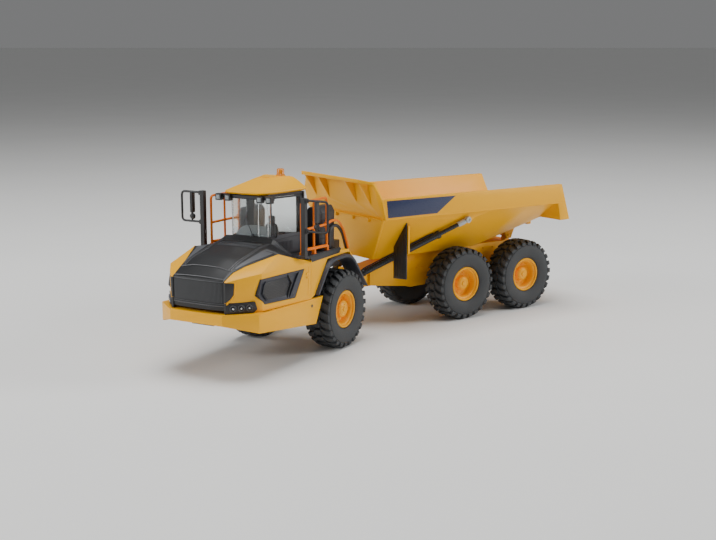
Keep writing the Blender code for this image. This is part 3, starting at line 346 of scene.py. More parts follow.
def grid(points: Array, around: bool = True, along: bool = False, caps: bool = True) -> Surface:
    """Skin a rows by columns by 3 grid of points.

    Args:
        points: the grid; a row is one ring of the surface.
        around: join each row's last point to its first.
        along: join the last row to the first.
        caps: close both ends with one face each, where the rows don't join.

    Returns:
        The surface, with faces pointing away from the rows' inside.
    """
    rows, columns = points.shape[:2]
    index = np.arange(rows * columns).reshape(rows, columns)
    near = index if along else index[:-1]
    far = np.roll(index, -1, 0) if along else index[1:]
    if around:
        quads = np.stack([near, np.roll(near, -1, 1), np.roll(far, -1, 1), far], -1)
    else:
        quads = np.stack([near[:, :-1], near[:, 1:], far[:, 1:], far[:, :-1]], -1)
    faces = quads.reshape(-1, 4).tolist()
    if caps and around and not along:
        faces += [index[0, ::-1].tolist(), index[-1].tolist()]
    return Surface(points.reshape(-1, 3).astype(float), faces)


def level(flat: Array, z: float) -> Array:
    """Stand flat (x, y) points at one height."""
    return np.column_stack([flat, np.full(len(flat), z)])


def loft(rings: list[tuple[Array, float]], along: bool = False) -> Surface:
    """Skin flat rings that each lie at a height."""
    return grid(np.stack([level(flat, z) for flat, z in rings]), along=along)


def rectangle(left: float, low: float, right: float, high: float) -> Points:
    """Corners of an upright rectangle."""
    return [(left, low), (right, low), (right, high), (left, high)]


def revolve(profile: Points, segments: int, axis: str = "y") -> Surface:
    """Turn a profile about an axis: point (r, a) becomes r cos t, r sin t across it and a along it.

    Args:
        profile: (radius, distance along the axis) pairs; a radius of 0 ends at the pole.
        segments: number of steps round.
        axis: "x", "y" or "z".

    Returns:
        A closed surface if the profile starts and ends at radius 0 or joins itself.
    """
    turn = np.linspace(0, math.tau, segments, endpoint=False)
    line = np.array([(max(r, 0.01), a) for r, a in profile], float)
    radius, height = line[:, :1], line[:, 1:]
    one, two = radius * np.cos(turn), radius * np.sin(turn)
    rise = np.broadcast_to(height, one.shape)
    order = {"x": (rise, one, two), "y": (two, rise, one), "z": (one, two, rise)}[axis]
    open_ends = profile[0][0] <= 0.01 and profile[-1][0] <= 0.01
    return grid(np.stack(order, -1), along=not open_ends, caps=open_ends)


def frame_along(path: Array, closed: bool) -> tuple[Array, Array]:
    """Two directions across a path at each of its points, kept from twisting in the path's mean plane.

    Args:
        path: n by 3 points.
        closed: whether the last point joins the first.

    Returns:
        The direction across the path in its plane, and the plane's normal, both n by 3.
    """
    if closed:
        tangent = np.roll(path, -1, 0) - np.roll(path, 1, 0)
    else:
        tangent = np.gradient(path, axis=0)
    tangent /= np.linalg.norm(tangent, axis=1, keepdims=True)
    spread = path - path.mean(0)
    normal = np.linalg.svd(spread, full_matrices=True)[2][2]
    if abs(tangent @ normal).max() > 0.7:
        normal = np.array([0.0, 0.0, 1.0])
    across = np.cross(tangent, normal)
    across /= np.linalg.norm(across, axis=1, keepdims=True)
    return across, np.cross(across, tangent)


def tube(path: Array, radius: float, sides: int = 14, closed: bool = False) -> Surface:
    """A round bar along a path: each ring is the circle across the path at that point."""
    path = np.asarray(path, float)
    across, up = frame_along(path, closed)
    turn = np.linspace(0, math.tau, sides, endpoint=False)[None, :, None]
    rings = path[:, None] + radius * (np.cos(turn) * across[:, None] + np.sin(turn) * up[:, None])
    return grid(rings[:, ::-1], along=closed, caps=not closed)


def rounded(corners: list[tuple[float, float, float]], radius: float, steps: int = 6,
            closed: bool = False) -> Array:
    """A path through corners, each replaced by a quadratic curve that starts radius before it.

    Args:
        corners: the sharp corners in order.
        radius: how far from a corner its curve starts and ends.
        steps: points on each curve.
        closed: whether the path returns to its start.

    Returns:
        An n by 3 array of points.
    """
    sharp = np.array(corners, float)
    count = len(sharp)
    share = np.linspace(0, 1, steps)[:, None]
    pieces = []
    for i in range(count):
        if not closed and i in (0, count - 1):
            pieces.append(sharp[i:i + 1])
            continue
        here, before, after = sharp[i], sharp[i - 1], sharp[(i + 1) % count]
        back, ahead = before - here, after - here
        reach = min(radius, 0.45 * np.linalg.norm(back), 0.45 * np.linalg.norm(ahead))
        start = here + back / np.linalg.norm(back) * reach
        end = here + ahead / np.linalg.norm(ahead) * reach
        pieces.append((1 - share) ** 2 * start + 2 * share * (1 - share) * here + share ** 2 * end)
    return np.vstack(pieces)


def inset(outline: Array, amount: float) -> Array:
    """Draw a flat outline inward: each point moves along the mitre of its two edges."""
    before = outline - np.roll(outline, 1, 0)
    after = np.roll(outline, -1, 0) - outline
    before = before / np.linalg.norm(before, axis=1, keepdims=True)
    after = after / np.linalg.norm(after, axis=1, keepdims=True)
    left_before = np.stack([-before[:, 1], before[:, 0]], 1)
    left_after = np.stack([-after[:, 1], after[:, 0]], 1)
    mitre = left_before + left_after
    mitre /= np.maximum((mitre * left_before).sum(1, keepdims=True), 0.35)
    signed = (outline[:, 0] * np.roll(outline[:, 1], -1) - np.roll(outline[:, 0], -1) * outline[:, 1]).sum()
    return outline + mitre * amount * (1 if signed > 0 else -1)


@dataclass(frozen=True)
class Plane:
    """A flat drawing plane set in a unit's layout."""

    origin: tuple[float, float, float]
    across: tuple[float, float, float]
    up: tuple[float, float, float]

    def axes(self) -> tuple[Array, Array, Array]:
        """Unit vectors across, up and out of the plane."""
        u = np.array(self.across, float)
        u /= np.linalg.norm(u)
        w = np.cross(u, np.array(self.up, float))
        w /= np.linalg.norm(w)
        return u, np.cross(w, u), w

    def lift(self, flat: Array | Points, height: float = 0.0) -> Array:
        """Put flat (u, v) points into the layout, at a height above the plane."""
        flat = np.asarray(flat, float)
        u, v, w = self.axes()
        return np.array(self.origin, float) + flat[:, :1] * u + flat[:, 1:2] * v + height * w

    def set_in(self, shape: Surface, at: tuple[float, float] = (0, 0), height: float = 0.0) -> Surface:
        """Stand a shape drawn with Z up on this plane, its Z along the plane's normal."""
        u, v, w = self.axes()
        spot = np.array(self.origin, float) + at[0] * u + at[1] * v + height * w
        return Surface(shape.points @ np.stack([u, v, w]) + spot, shape.faces)


def stacked(plane: Plane, flat: Array, rings: Points) -> Surface:
    """Skin an outline at several (height, inward draw) pairs above a plane."""
    return grid(np.stack([plane.lift(inset(flat, draw), height) for height, draw in rings]))


def plate(plane: Plane, outline: Points, low: float, high: float, edge: float = 0.4) -> Surface:
    """A flat plate with a rounded upper edge: rings of the outline, drawn in as they near the top.

    Args:
        plane: where the outline is drawn.
        outline: (u, v) corners in order.
        low: height of the underside above the plane.
        high: height of the top.
        edge: how far the rim is rounded.

    Returns:
        A closed surface.
    """
    flat = np.array(outline, float)
    signed = (flat[:, 0] * np.roll(flat[:, 1], -1) - np.roll(flat[:, 0], -1) * flat[:, 1]).sum()
    if signed < 0:
        flat = flat[::-1]
    edge = min(edge, 0.45 * (high - low))
    rings = [(low, 0.0), (high - edge, 0.0), (high - 0.3 * edge, 0.3 * edge), (high, edge)]
    return stacked(plane, flat, rings)


def bar(low: tuple[float, float, float], high: tuple[float, float, float], edge: float = 0.4) -> Surface:
    """An upright block with rounded edges, its rings drawn in at both ends."""
    (x0, y0, z0), (x1, y1, z1) = low, high
    flat = np.array(rectangle(x0, y0, x1, y1), float)
    plane = Plane((0, 0, 0), (1, 0, 0), (0, 1, 0))
    return stacked(plane, flat, [(z0, edge), (z0 + edge, 0.0), (z1 - edge, 0.0), (z1, edge)])


def circle(radius: float, sides: int, centre: tuple[float, float] = (0, 0)) -> Points:
    """Corners of a regular polygon."""
    return [(centre[0] + radius * math.cos(math.tau * i / sides),
             centre[1] + radius * math.sin(math.tau * i / sides)) for i in range(sides)]


def stud(plane: Plane, at: tuple[float, float], radius: float, height: float, sides: int = 16) -> Surface:
    """A low round or six-sided boss standing on a plane."""
    return plate(plane, circle(radius, sides, at), -0.4, height, min(0.35, height * 0.4))


def ridge(path: Array, width: float, height: float, up: tuple[float, float, float] = (0, 0, 1)) -> Surface:
    """A low raised bar along a path: each ring is a trapezium sunk 0.3 mm into it."""
    path = np.asarray(path, float)
    tangent = np.gradient(path, axis=0)
    across = np.cross(tangent, np.array(up, float))
    across /= np.linalg.norm(across, axis=1, keepdims=True)
    rise = np.cross(across, tangent)
    rise /= np.linalg.norm(rise, axis=1, keepdims=True)
    shape = [(-0.5, -0.3), (0.5, -0.3), (0.5, height * 0.4), (0.3, height), (-0.3, height),
             (-0.5, height * 0.4)]
    rings = np.stack([path + across * width * a + rise * b for a, b in shape], 1)
    return grid(rings)


def slab_between(one: Array, two: Array, low: float, high: float) -> Surface:
    """A sheet stretched between two paths: rings run there at high and back at low."""
    one, two = np.asarray(one, float), np.asarray(two, float)
    normal = np.cross(np.gradient(one, axis=0), two - one)
    normal /= np.linalg.norm(normal, axis=1, keepdims=True)
    normal *= np.where(normal[:, 2:] + 0.2 * abs(normal[:, 1:2]) < 0, -1, 1)
    rings = np.stack([one + normal * low, two + normal * low, two + normal * high, one + normal * high], 1)
    return grid(rings)


def walls(outline: Array, thick: float, low: float, high: float) -> Surface:
    """A tube of walls on a flat outline: up its outside, over, and down its inside."""
    outer = np.asarray(outline, float)
    inner = inset(outer, thick)
    rings = [(outer, low), (outer, high), (inner, high), (inner, low)]
    return loft(rings, along=True)


def between(x: float, x0: float, v0: float, x1: float, v1: float) -> float:
    """Straight interpolation."""
    return v0 + (v1 - v0) * (x - x0) / (x1 - x0)


# ------------------------------------------------------------------ workshop

@dataclass
class Workshop:
    """Turns surfaces into named pieces that ride on the frame's bodies."""

    truck: Truck
    made: int = 0
    bodies: dict = field(init=False)
    slots: dict = field(init=False)

    def __post_init__(self) -> None:
        """Read each node's body and material slot from the record."""
        record = self.truck.frame["record"]
        self.bodies = {node: body for body, nodes in record["behaviour"]["bodies"].items()
                       for node in nodes}
        self.slots = {row["node"]: row["material_slot"] for row in record["subparts"]}

    def pair(self, stem: str, left: Surface, layout: Layout, finish: Finish, body: str,
             replaces: tuple[str, ...] = (), smooth_deg: float = 35.0) -> None:
        """Make a piece for both sides; "{side}" in the body and the replaced names becomes left or right."""
        for side in Side:
            shape = left if side is Side.LEFT else left.flipped()
            self.piece(f"{side.word}_{stem}", shape, layout, finish, body.format(side=side.word),
                       tuple(name.format(side=side.word) for name in replaces), smooth_deg)

    def dress(self, obj: bpy.types.Object, finish: Finish, smooth_deg: float = 35.0) -> None:
        """Give an object its finish and its smooth shading."""
        obj.data.materials.clear()
        obj.data.materials.append(finish.build())
        obj.data.shade_smooth()
        obj.data.set_sharp_from_angle(angle=math.radians(smooth_deg))

    def piece(self, name: str, surface: Surface, layout: Layout, finish: Finish, body: str,
              replaces: tuple[str, ...] = (), smooth_deg: float = 35.0) -> bpy.types.Object:
        """Make one piece from a surface.

        Args:
            name: the piece's name.
            surface: its shape in the layout's millimetres.
            layout: the unit it is drawn in.
            finish: its material.
            body: the frame body that carries it.
            replaces: CAD nodes that it stands for.
            smooth_deg: edges sharper than this stay sharp.

        Returns:
            The new object.
        """
        mesh = bpy.data.meshes.new(name)
        mesh.from_pydata(layout.place(surface.points).tolist(), [], surface.faces)
        work = bmesh.new()
        work.from_mesh(mesh)
        bmesh.ops.remove_doubles(work, verts=work.verts, dist=1e-6)
        bmesh.ops.recalc_face_normals(work, faces=work.faces)
        work.to_mesh(mesh)
        work.free()
        obj = bpy.data.objects.new(name, mesh)
        bpy.context.scene.collection.objects.link(obj)
        self.dress(obj, finish, smooth_deg)
        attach(obj, body)
        if replaces:
            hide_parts(*replaces)
        self.made += 1
        LOG.info("%s: %d faces", name, len(mesh.polygons))
        return obj

    def soften(self, node: str, finish: Finish, width: float = 0.5) -> bpy.types.Object:
        """Stand a copy of a CAD node in for it, merged and with rounded edges.

        Args:
            node: the CAD node.
            finish: its material.
            width: how far each sharp edge is rounded, in millimetres.

        Returns:
            The new object.
        """
        name = f"{node}_moulding"
        mesh = self.truck.node(node).data.copy()
        mesh.name = name
        work = bmesh.new()
        work.from_mesh(mesh)
        bmesh.ops.remove_doubles(work, verts=work.verts, dist=2e-6)
        bmesh.ops.dissolve_limit(work, angle_limit=math.radians(0.6), verts=work.verts, edges=work.edges)
        if width > 0:
            sharp = [e for e in work.edges if len(e.link_faces) == 2
                     and e.calc_face_angle(0) > math.radians(28)]
            bmesh.ops.bevel(work, geom=sharp, offset=width * MM, offset_type="OFFSET", segments=2,
                            profile=0.5, affect="EDGES", clamp_overlap=True, miter_outer="ARC")
        work.to_mesh(mesh)
        work.free()
        obj = bpy.data.objects.new(name, mesh)
        bpy.context.scene.collection.objects.link(obj)
        self.dress(obj, finish)
        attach(obj, self.bodies[node])
        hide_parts(node)
        self.made += 1
        LOG.info("%s: %d faces", name, len(mesh.polygons))
        return obj


# ------------------------------------------------------------------ wheels

@dataclass
class Wheel:
    """A lugged vinyl tyre on a dished yellow rim with wheel nuts."""

    radius: float = 58.5
    lugs: int = 26
    lug_height: float = 4.2
    lug_skew: float = 0.62       # share of a pitch that a lug leans between crown and shoulder
    plane_y: float = 69.6
    nuts: int = 10
    nut_circle: float = 16.4

    def section(self) -> Array:
        """Skin of the groove floor as (lateral, radius), from bead over crown to bead."""
        floor = self.radius - self.lug_height
        half = [(15.6, 28.4), (17.4, 29.2), (18.6, 31.0), (19.6, 34.5), (20.5, 39.0), (20.8, 43.5),
                (20.5, 47.0), (20.0, 49.2), (19.2, 49.6), (19.0, 50.0), (18.6, 51.2), (17.6, 53.2),
                (16.2, floor - 0.9), (14.6, floor - 0.4), (12.4, floor - 0.15), (8.2, floor), (7.6, floor),
                (5.6, floor), (5.0, floor)]
        line = half + [(-y, r) for y, r in reversed(half)]
        return np.array(line, float)

    def height(self, lateral: Array, radius: Array, turn: Array) -> Array:
        """How far the tread stands above the groove floor.

        A lug is where the lateral place lies in a band and the share of a pitch lies in a
        window; both are sharp steps that fall on the grid's own lines.

        Args:
            lateral: the section's lateral place, one per row.
            radius: the section's radius, one per row.
            turn: the share of a pitch, one per column.

        Returns:
            Heights, rows by columns.
        """
        reach = np.abs(lateral)[:, None]
        side = np.sign(lateral)[:, None]
        phase = (turn[None, :] + 0.25 * side) % 1.0
        on_tread = radius[:, None] > 50.5
        lug = on_tread & (reach > 8.0) & (phase > 0.05) & (phase < 0.62)
        centre = (reach < 5.3) & on_tread & ((turn[None, :] % 1.0) > 0.12) & ((turn[None, :] % 1.0) < 0.80)
        bridge = (reach < 8.3) & (reach > 5.2) & on_tread & (phase > 0.05) & (phase < 0.33)
        crown = np.where(radius > 54.0, self.lug_height, between(radius, 50.0, 0.9, 54.0, self.lug_height))
        rise = np.clip(crown, 0, self.lug_height)[:, None]
        return rise * (lug | centre | bridge)

    def tyre(self) -> Surface:
        """The whole tyre: each point is the section's, pushed out by the tread's height."""
        section = self.section()
        walls = sorted({0.0} | {(edge + 0.25 * side + d) % 1.0 for side in (1, -1)
                                for edge in (0.05, 0.62, 0.33) for d in (-0.012, 0.012)}
                       | {e + d for e in (0.12, 0.80) for d in (-0.012, 0.012)})
        share = (np.arange(self.lugs)[:, None] + np.array(walls)[None, :]).ravel()
        lateral, radius = section[:, 0], section[:, 1]
        rise = self.height(lateral, radius, share)
        ahead = np.roll(section, -1, 0) - np.roll(section, 1, 0)
        ahead[0], ahead[-1] = section[1] - section[0], section[-1] - section[-2]
        normal = np.stack([-ahead[:, 1], ahead[:, 0]], 1)
        normal /= np.linalg.norm(normal, axis=1, keepdims=True)
        outward = normal[:, 1:] * (radius[:, None] - 40) + normal[:, :1] * lateral[:, None]
        normal *= np.where(outward < 0, -1, 1)
        y = lateral[:, None] + rise * normal[:, :1]
        r = radius[:, None] + rise * normal[:, 1:]
        lean = self.lug_skew * np.clip((np.abs(lateral) - 5) / 14, 0, 1)
        angle = math.tau * (share[None, :] + lean[:, None]) / self.lugs
        return grid(np.stack([r * np.sin(angle), y, r * np.cos(angle)], -1), along=True, caps=False)

    def rim(self, driven: bool) -> Surface:
        """Flange, stepped dish and hub, drawn for the left side, with nuts round the hub."""
        hub = 12.6 if driven else 11.0
        face = 14.8 if driven else 11.6
        profile = [(0, face + 1.4), (3.2, face + 1.4), (4.0, face + 0.7), (4.2, face), (hub - 3.4, face),
                   (hub - 2.6, face - 0.5), (hub - 1.0, face - 1.4), (hub, face - 2.6), (hub + 0.4, 3.2),
                   (hub + 1.6, 2.4), (19.4, 2.4), (20.4, 3.2), (20.9, 5.0), (21.9, 12.0), (22.6, 13.0),
                   (24.4, 13.6), (24.9, 14.2), (25.1, 16.2), (25.8, 17.0), (27.4, 17.0), (27.9, 16.4),
                   (28.0, 15.4), (28.0, -16.6), (27.4, -17.0), (24.6, -17.0), (24.0, -16.4), (22.4, -6.0),
                   (20.0, -4.0), (11.0, -4.0), (10.4, -16.6), (9.8, -17.0), (4.3, -17.0), (0, -17.0)]
        disc = revolve(profile, 64)
        nut_plane = Plane((0, 2.2, 0), (1, 0, 0), (0, 0, -1))
        ring = self.nut_circle + (0.6 if driven else 0.0)
        nuts = [stud(nut_plane, (ring * math.cos(t), ring * math.sin(t)), 1.25, 1.5, 6)
                for t in np.linspace(0, math.tau, self.nuts, endpoint=False)]
        hub_plane = Plane((0, face - 0.2, 0), (1, 0, 0), (0, 0, -1))
        if driven:
            nuts += [stud(hub_plane, (6.6 * math.cos(t), 6.6 * math.sin(t)), 0.7, 0.9, 6)
                     for t in np.linspace(0, math.tau, 8, endpoint=False)]
        return joined([disc] + nuts)

    def build(self, shop: Workshop) -> None:
        """Make all six tyres and rims."""
        tyre = self.tyre()
        axles = (("front", shop.truck.front, FRONT_AXLE_X), ("middle", shop.truck.rear, MIDDLE_AXLE_X),
                 ("rear", shop.truck.rear, REAR_AXLE_X))
        for axle, layout, x in axles:
            rim = self.rim(axle == "front")
            for side in Side:
                at = (x, side.value * self.plane_y, AXLE_HEIGHT)
                name = f"{axle}_{side.word}"
                lugged = tyre if side is Side.LEFT else tyre.flipped()
                dished = rim if side is Side.LEFT else rim.flipped()
                shop.piece(f"{name}_lugged_tyre", lugged.moved(at), layout, TYRE, f"{name}_wheel",
                           (f"{name}_tyre",), 32)
                shop.piece(f"{name}_dished_rim", dished.moved(at), layout, RIM_YELLOW, f"{name}_wheel",
                           (f"{name}_rim",), 28)


# ------------------------------------------------------------------ bonnet

@dataclass
class Bonnet:
    """Black lid with ridges, vent bars and the slatted nose grille.

    Each station is (X, height at the centre, height at the crease, Y of the edge, height of the edge).
    """

    stations: tuple = ((222.2, 172.6, 171.6, 75.0, 155.5), (250.0, 169.8, 168.4, 70.0, 163.6),
                       (299.0, 162.6, 157.5, 49.5, 153.6), (320.0, 153.0, 149.0, 43.5, 147.6),
                       (338.0, 140.5, 139.5, 42.0, 138.5))
    crease: float = 40.0
    nose: float = 341.0

    def skin(self, x: Array, y: Array) -> Array:
        """Points on the lid: heights are straight between stations in X and between its creases in Y.

        Args:
            x: places along the lid.
            y: places across it, in the same shape.

        Returns:
            n by 3 points.
        """
        x, reach = np.asarray(x, float), np.abs(np.asarray(y, float))
        table = np.array(self.stations)
        centre, crease, edge_y, edge_z = (np.interp(x, table[:, 0], table[:, i]) for i in (1, 2, 3, 4))
        half = self.crease / 2
        inner = np.where(reach < half, centre - 0.4 * reach / half,
                         centre - 0.4 + (crease - centre + 0.4) * (reach - half) / half)
        outer = crease + (edge_z - crease) * (reach - self.crease) / np.maximum(edge_y - self.crease, 0.5)
        return np.column_stack([x, y, np.where(reach <= self.crease, inner, outer)])

    def lid(self) -> Surface:
        """The lid as a closed shell: cross-rings of the skin, each going back 3 mm lower."""
        table = np.array(self.stations)
        knots = np.concatenate([np.linspace(a, b, n, endpoint=False) for a, b, n in
                                ((222.2, 250, 3), (250, 299, 5), (299, 320, 3), (320, 338.0, 3))] + [[338.0]])
        rings = []
        for x in knots:
            edge = np.interp(x, table[:, 0], table[:, 3])
            y = np.concatenate([np.linspace(edge, self.crease, 4)[:-1], [self.crease, 38.8],
                                np.linspace(36, -36, 13), [-38.8, -self.crease],
                                np.linspace(-self.crease, -edge, 4)[1:]])
            top = self.skin(np.full(len(y), x), y)
            rings.append(np.vstack([top, top[::-1] - [0, 0, 3.0]]))
        return grid(np.stack(rings))

    def face(self, y: Array) -> Array:
        """X of the bowed nose at a place across it: the nose less 3.6 |y / 42|^3.2."""
        return self.nose - 3.6 * np.abs(y / 42.0) ** 3.2

    def nose_block(self) -> Surface:
        """Upright nose, bowed in plan: rings at several heights, drawn back at the top and the foot."""
        turn = np.linspace(-1, 1, 17)
        bow = self.face(42.0 * turn)
        rings = []
        for z, back, half in ((98.0, 1.2, 41.0), (98.8, 0.3, 41.8), (103.5, 0.0, 42.0), (137.5, 0.0, 42.0),
                              (139.2, 0.5, 41.8), (140.2, 1.6, 41.0)):
            front = np.column_stack([bow - back, turn * half])
            rear = np.column_stack([np.full(17, 335.4), turn[::-1] * half])
            rings.append((np.vstack([front, rear]), z))
        return loft(rings)

    def ridges(self) -> Surface:
        """Two raised lines along each crease and one across the lid's bend."""
        x = np.linspace(226, 319, 12)
        lines = [ridge(self.skin(x, np.full(12, side * y)), 1.2, 0.7)
                 for side in (1, -1) for y in (36.5, 39.4)]
        y = np.linspace(-41, 41, 21)
        lines.append(ridge(self.skin(np.full(21, 320.0), y) + [0.2, 0, 0.1], 1.3, 0.8))
        lines.append(ridge(self.skin(np.full(21, 336.6), y * 0.98) + [0.2, 0, 0.2], 1.4, 0.9))
        return joined(lines)

    def shoulder_panels(self) -> Surface:
        """A tapering raised panel on each sloped side of the lid, coloured lighter than the lid as a painted
        highlight of the slope.
        """
        x = np.linspace(243, 312, 8)
        share = (x - 243) / 69
        high = np.interp(x, (243, 312), (47, 42.2))
        low = high + (np.interp(x, (243, 299, 312), (67.5, 48.2, 44.2)) - high) * (0.97 - 0.1 * share)
        return joined([slab_between(self.skin(x, side * high), self.skin(x, side * low), -0.3, 0.6)
                       for side in (1, -1)])

    def slots(self) -> Surface:
        """Two rows of short vent bars across the lid's rear."""
        bars = []
        for start, end, reach in ((233.0, 240.0, 31.2), (243.0, 252.0, 31.2)):
            for y in np.arange(-reach, reach + 0.1, 2.6):
                bars.append(ridge(self.skin(np.linspace(start, end, 3), np.full(3, y)), 1.1, 0.9))
        return joined(bars)

    def grille(self) -> Surface:
        """Fine upright slats between two cross lines on the nose."""
        y = np.linspace(-41.2, 41.2, 33)
        lines = []
        for z, wide in ((105.0, 1.6), (107.6, 0.7), (137.4, 1.0)):
            lines.append(ridge(level(np.stack([self.face(y) + 0.1, y], 1), z), wide, 0.8, (1, 0, 0)))
        for v in np.arange(-38.0, 38.1, 1.9):
            path = [(self.face(v) + 0.05, v, z) for z in (109.4, 122.5, 135.8)]
            lines.append(ridge(path, 0.7, 0.2, (1, 0, 0)))
        return joined(lines)

    def build(self, shop: Workshop) -> None:
        """Dress the lid and add its details, all on the hinged lid's body."""
        front = shop.truck.front
        shop.piece("bonnet_lid", self.lid() + self.nose_block(), front, BONNET_BLACK, "bonnet",
                   ("bonnet",), 24)
        # The lid's ridges are coloured lighter than the lid as a painted highlight of their edges.
        shop.piece("bonnet_ridges", self.ridges(), front, PAINTED_EDGE_HIGHLIGHT, "bonnet")
        # The shoulder panels' lighter charcoal is a painted highlight on the lid's sloped sides.
        shop.piece("bonnet_shoulder_panels", self.shoulder_panels(), front, VENT_AND_PAINTED_SHOULDER_GREY, "bonnet")
        shop.piece("bonnet_vent_bars", self.slots(), front, VENT_AND_PAINTED_SHOULDER_GREY, "bonnet")
        # The grille's slats and cross lines are coloured lighter than the nose as a painted highlight of
        # their edges.
        shop.piece("grille_slats", self.grille(), front, PAINTED_EDGE_HIGHLIGHT, "bonnet")


# ------------------------------------------------------------------ front body

@dataclass
class FrontBody:
    """Yellow side panels, bumper, fenders, intakes, headlamps and arch trims."""

    side_at_rear: tuple[float, float] = (183.0, 81.0)
    side_at_front: tuple[float, float] = (304.0, 76.0)
    nose_corner: tuple[float, float] = (338.0, 44.5)
    intake: tuple = ((301.0, 138.0), (307.0, 117.0), (293.0, 103.0), (222.0, 99.0), (199.0, 136.0))
    lamp_spots: tuple = (9.5, 20.5, 31.5)
    lamp_z: float = 101.6

    def side_plane(self) -> Plane:
        """The left side panel's lower face; u runs backward, so u is minus X."""
        (x0, y0), (x1, y1) = self.side_at_rear, self.side_at_front
        lean = (y1 - y0) / (x1 - x0)
        return Plane((0, y0 - lean * x0, 0), (-1, -lean, 0), (0, 0, 1))

    def corner_plane(self) -> Plane:
        """The left front chamfer; u runs outward and back from the nose corner."""
        (x0, y0), (x1, y1) = self.nose_corner, self.side_at_front
        return Plane((x0, y0, 0), (x1 - x0, y1 - y0, 0), (0, 0, 1))

    def intake_frame(self) -> Surface:
        """Slab with a sloped rim, its rings drawn in as they sink."""
        outline = np.array([(-x, z) for x, z in self.intake[::-1]])
        rings = [(-3.6, 0.0), (-0.6, 0.0), (-0.2, 0.5), (-0.2, 1.2), (-2.6, 6.0), (-2.8, 6.6)]
        return stacked(self.side_plane(), outline, rings)

    def intake_field(self) -> Surface:
        """Six-sided inner field with thin slats, set in the intake."""
        plane = self.side_plane()
        field_outline = [(-290, 131.5), (-295, 118), (-285, 107.5),
                         (-243, 105.5), (-232.5, 119.5), (-241, 131)]
        parts = [plate(plane, field_outline, -3.2, -2.0, 0.5)]
        for z in np.arange(108.5, 130.5, 2.2):
            left = np.interp(z, (107.5, 118, 131.5), (-284, -293.4, -289))
            right = np.interp(z, (105.5, 119.5, 131), (-245, -235, -243))
            path = plane.lift([(left, z), ((left + right) / 2, z), (right, z)], -2.0)
            parts.append(ridge(path, 0.7, 0.25, (0, 1, 0)))
        return joined(parts)

    def intake_bars(self) -> Surface:
        """The slanted bar along the intake's rear edge and the thin outline at its front."""
        plane = self.side_plane()
        slanted = plate(plane, [(-212, 134.6), (-201.5, 134.6), (-223.4, 101.2), (-236, 101.8)],
                        -2.6, 0.2, 0.6)
        bend = plane.lift([(-288, 133.2), (-293.2, 128), (-296.8, 118), (-287, 106.2), (-281, 105.2)], -2.2)
        return slanted + ridge(bend, 0.9, 1.3, (0, 1, 0))

    def intake_strut(self) -> Surface:
        """The black kinked strut ahead of the slanted bar."""
        plane = self.side_plane()
        path = plane.lift([(-239, 135.6), (-229.5, 121.5), (-240.5, 101.6)], -2.4)
        return ridge(path, 2.6, 2.2, (0, 1, 0))

    def nose_recess(self) -> Surface:
        """Black five-sided infill between the grille and the yellow cheek."""
        outline = [(-0.6, 109.6), (6.2, 114.2), (10.6, 120.4), (11.8, 135.6), (-0.6, 136.9)]
        side = plate(self.corner_plane(), outline, -0.6, 0.5, 0.2)
        nose = Plane((338.0, 0, 0), (0, 1, 0), (0, 0, 1))
        strips = [plate(nose, rectangle(41.8, a, 44.9, b), -0.6, 0.45, 0.2)
                  for a, b in ((109.6, 136.9), (94.5, 109.0))]
        return joined([side, *strips])

    def recess_rim(self) -> Surface:
        """Raised yellow edge along the infill's outer side."""
        path = self.corner_plane().lift([(0.6, 108.6), (6.8, 113.2), (11.6, 120.0), (12.9, 136.2)], 0.0)
        return ridge(path, 1.3, 0.9, (0.7, 0.7, 0))

    def lamp_face(self) -> Surface:
        """Black lamp surround from the nose to a slanted outer end."""
        outline = [(-0.4, 94.4), (38.0, 94.4), (42.6, 99.0), (39.6, 109.2), (3.0, 107.6), (-0.4, 106.0)]
        return plate(self.corner_plane(), outline, -0.6, 0.45, 0.3)

    def lamp(self, shape: Points) -> Surface:
        """Three turned shapes standing on the lamp housing's face."""
        plane = self.corner_plane()
        one = revolve(shape, 28, "z")
        return joined([plane.set_in(one, (u, self.lamp_z), 0.5) for u in self.lamp_spots])

    def latch(self) -> Surface:
        """Raised latch plate with a round button, and the door seam beside it."""
        plane = self.side_plane()
        outline = [(-195.5, 126.6), (-187.2, 127.4), (-187.2, 130.2), (-195.5, 129.6)]
        cover = plate(plane, outline, -0.4, 0.9, 0.4)
        button = stud(plane, (-192.4, 122.8), 2.0, 0.9)
        seam = ridge(plane.lift([(-191.0, 96.5), (-190.0, 117), (-189.0, 138.5)], 0), 0.7, 0.35, (0, 1, 0))
        return joined([cover, button, seam])

    def outer_plane(self) -> Plane:
        """The bumper's and fender's outer face; u is minus X."""
        return Plane((0, 81.0, 0), (-1, 0, 0), (0, 0, 1))

    def bumper_lip(self) -> Surface:
        """A raised lip along the side plate's upper edge."""
        path = self.outer_plane().lift([(-312, 92.9), (-240, 90.6), (-153, 88.0)])
        return ridge(path, 1.6, 0.7, (0, 1, 0))

    def plug(self) -> Surface:
        """Dark round hole plug near the side plate's rear."""
        disc = revolve([(0, 0.1), (1.2, 0.15), (1.6, 0.5), (2.2, 0.5), (2.4, -0.3), (0, -0.3)], 20, "z")
        return self.outer_plane().set_in(disc, (-181, 79.5))

    def band(self) -> Surface:
        """Plain black film along the fender's upper edge."""
        outline = [(-186, 151.3), (-99.5, 151.3), (-103, 144.2), (-180, 142.4)]
        return plate(self.outer_plane(), outline, -0.55, 0.2, 0.1)

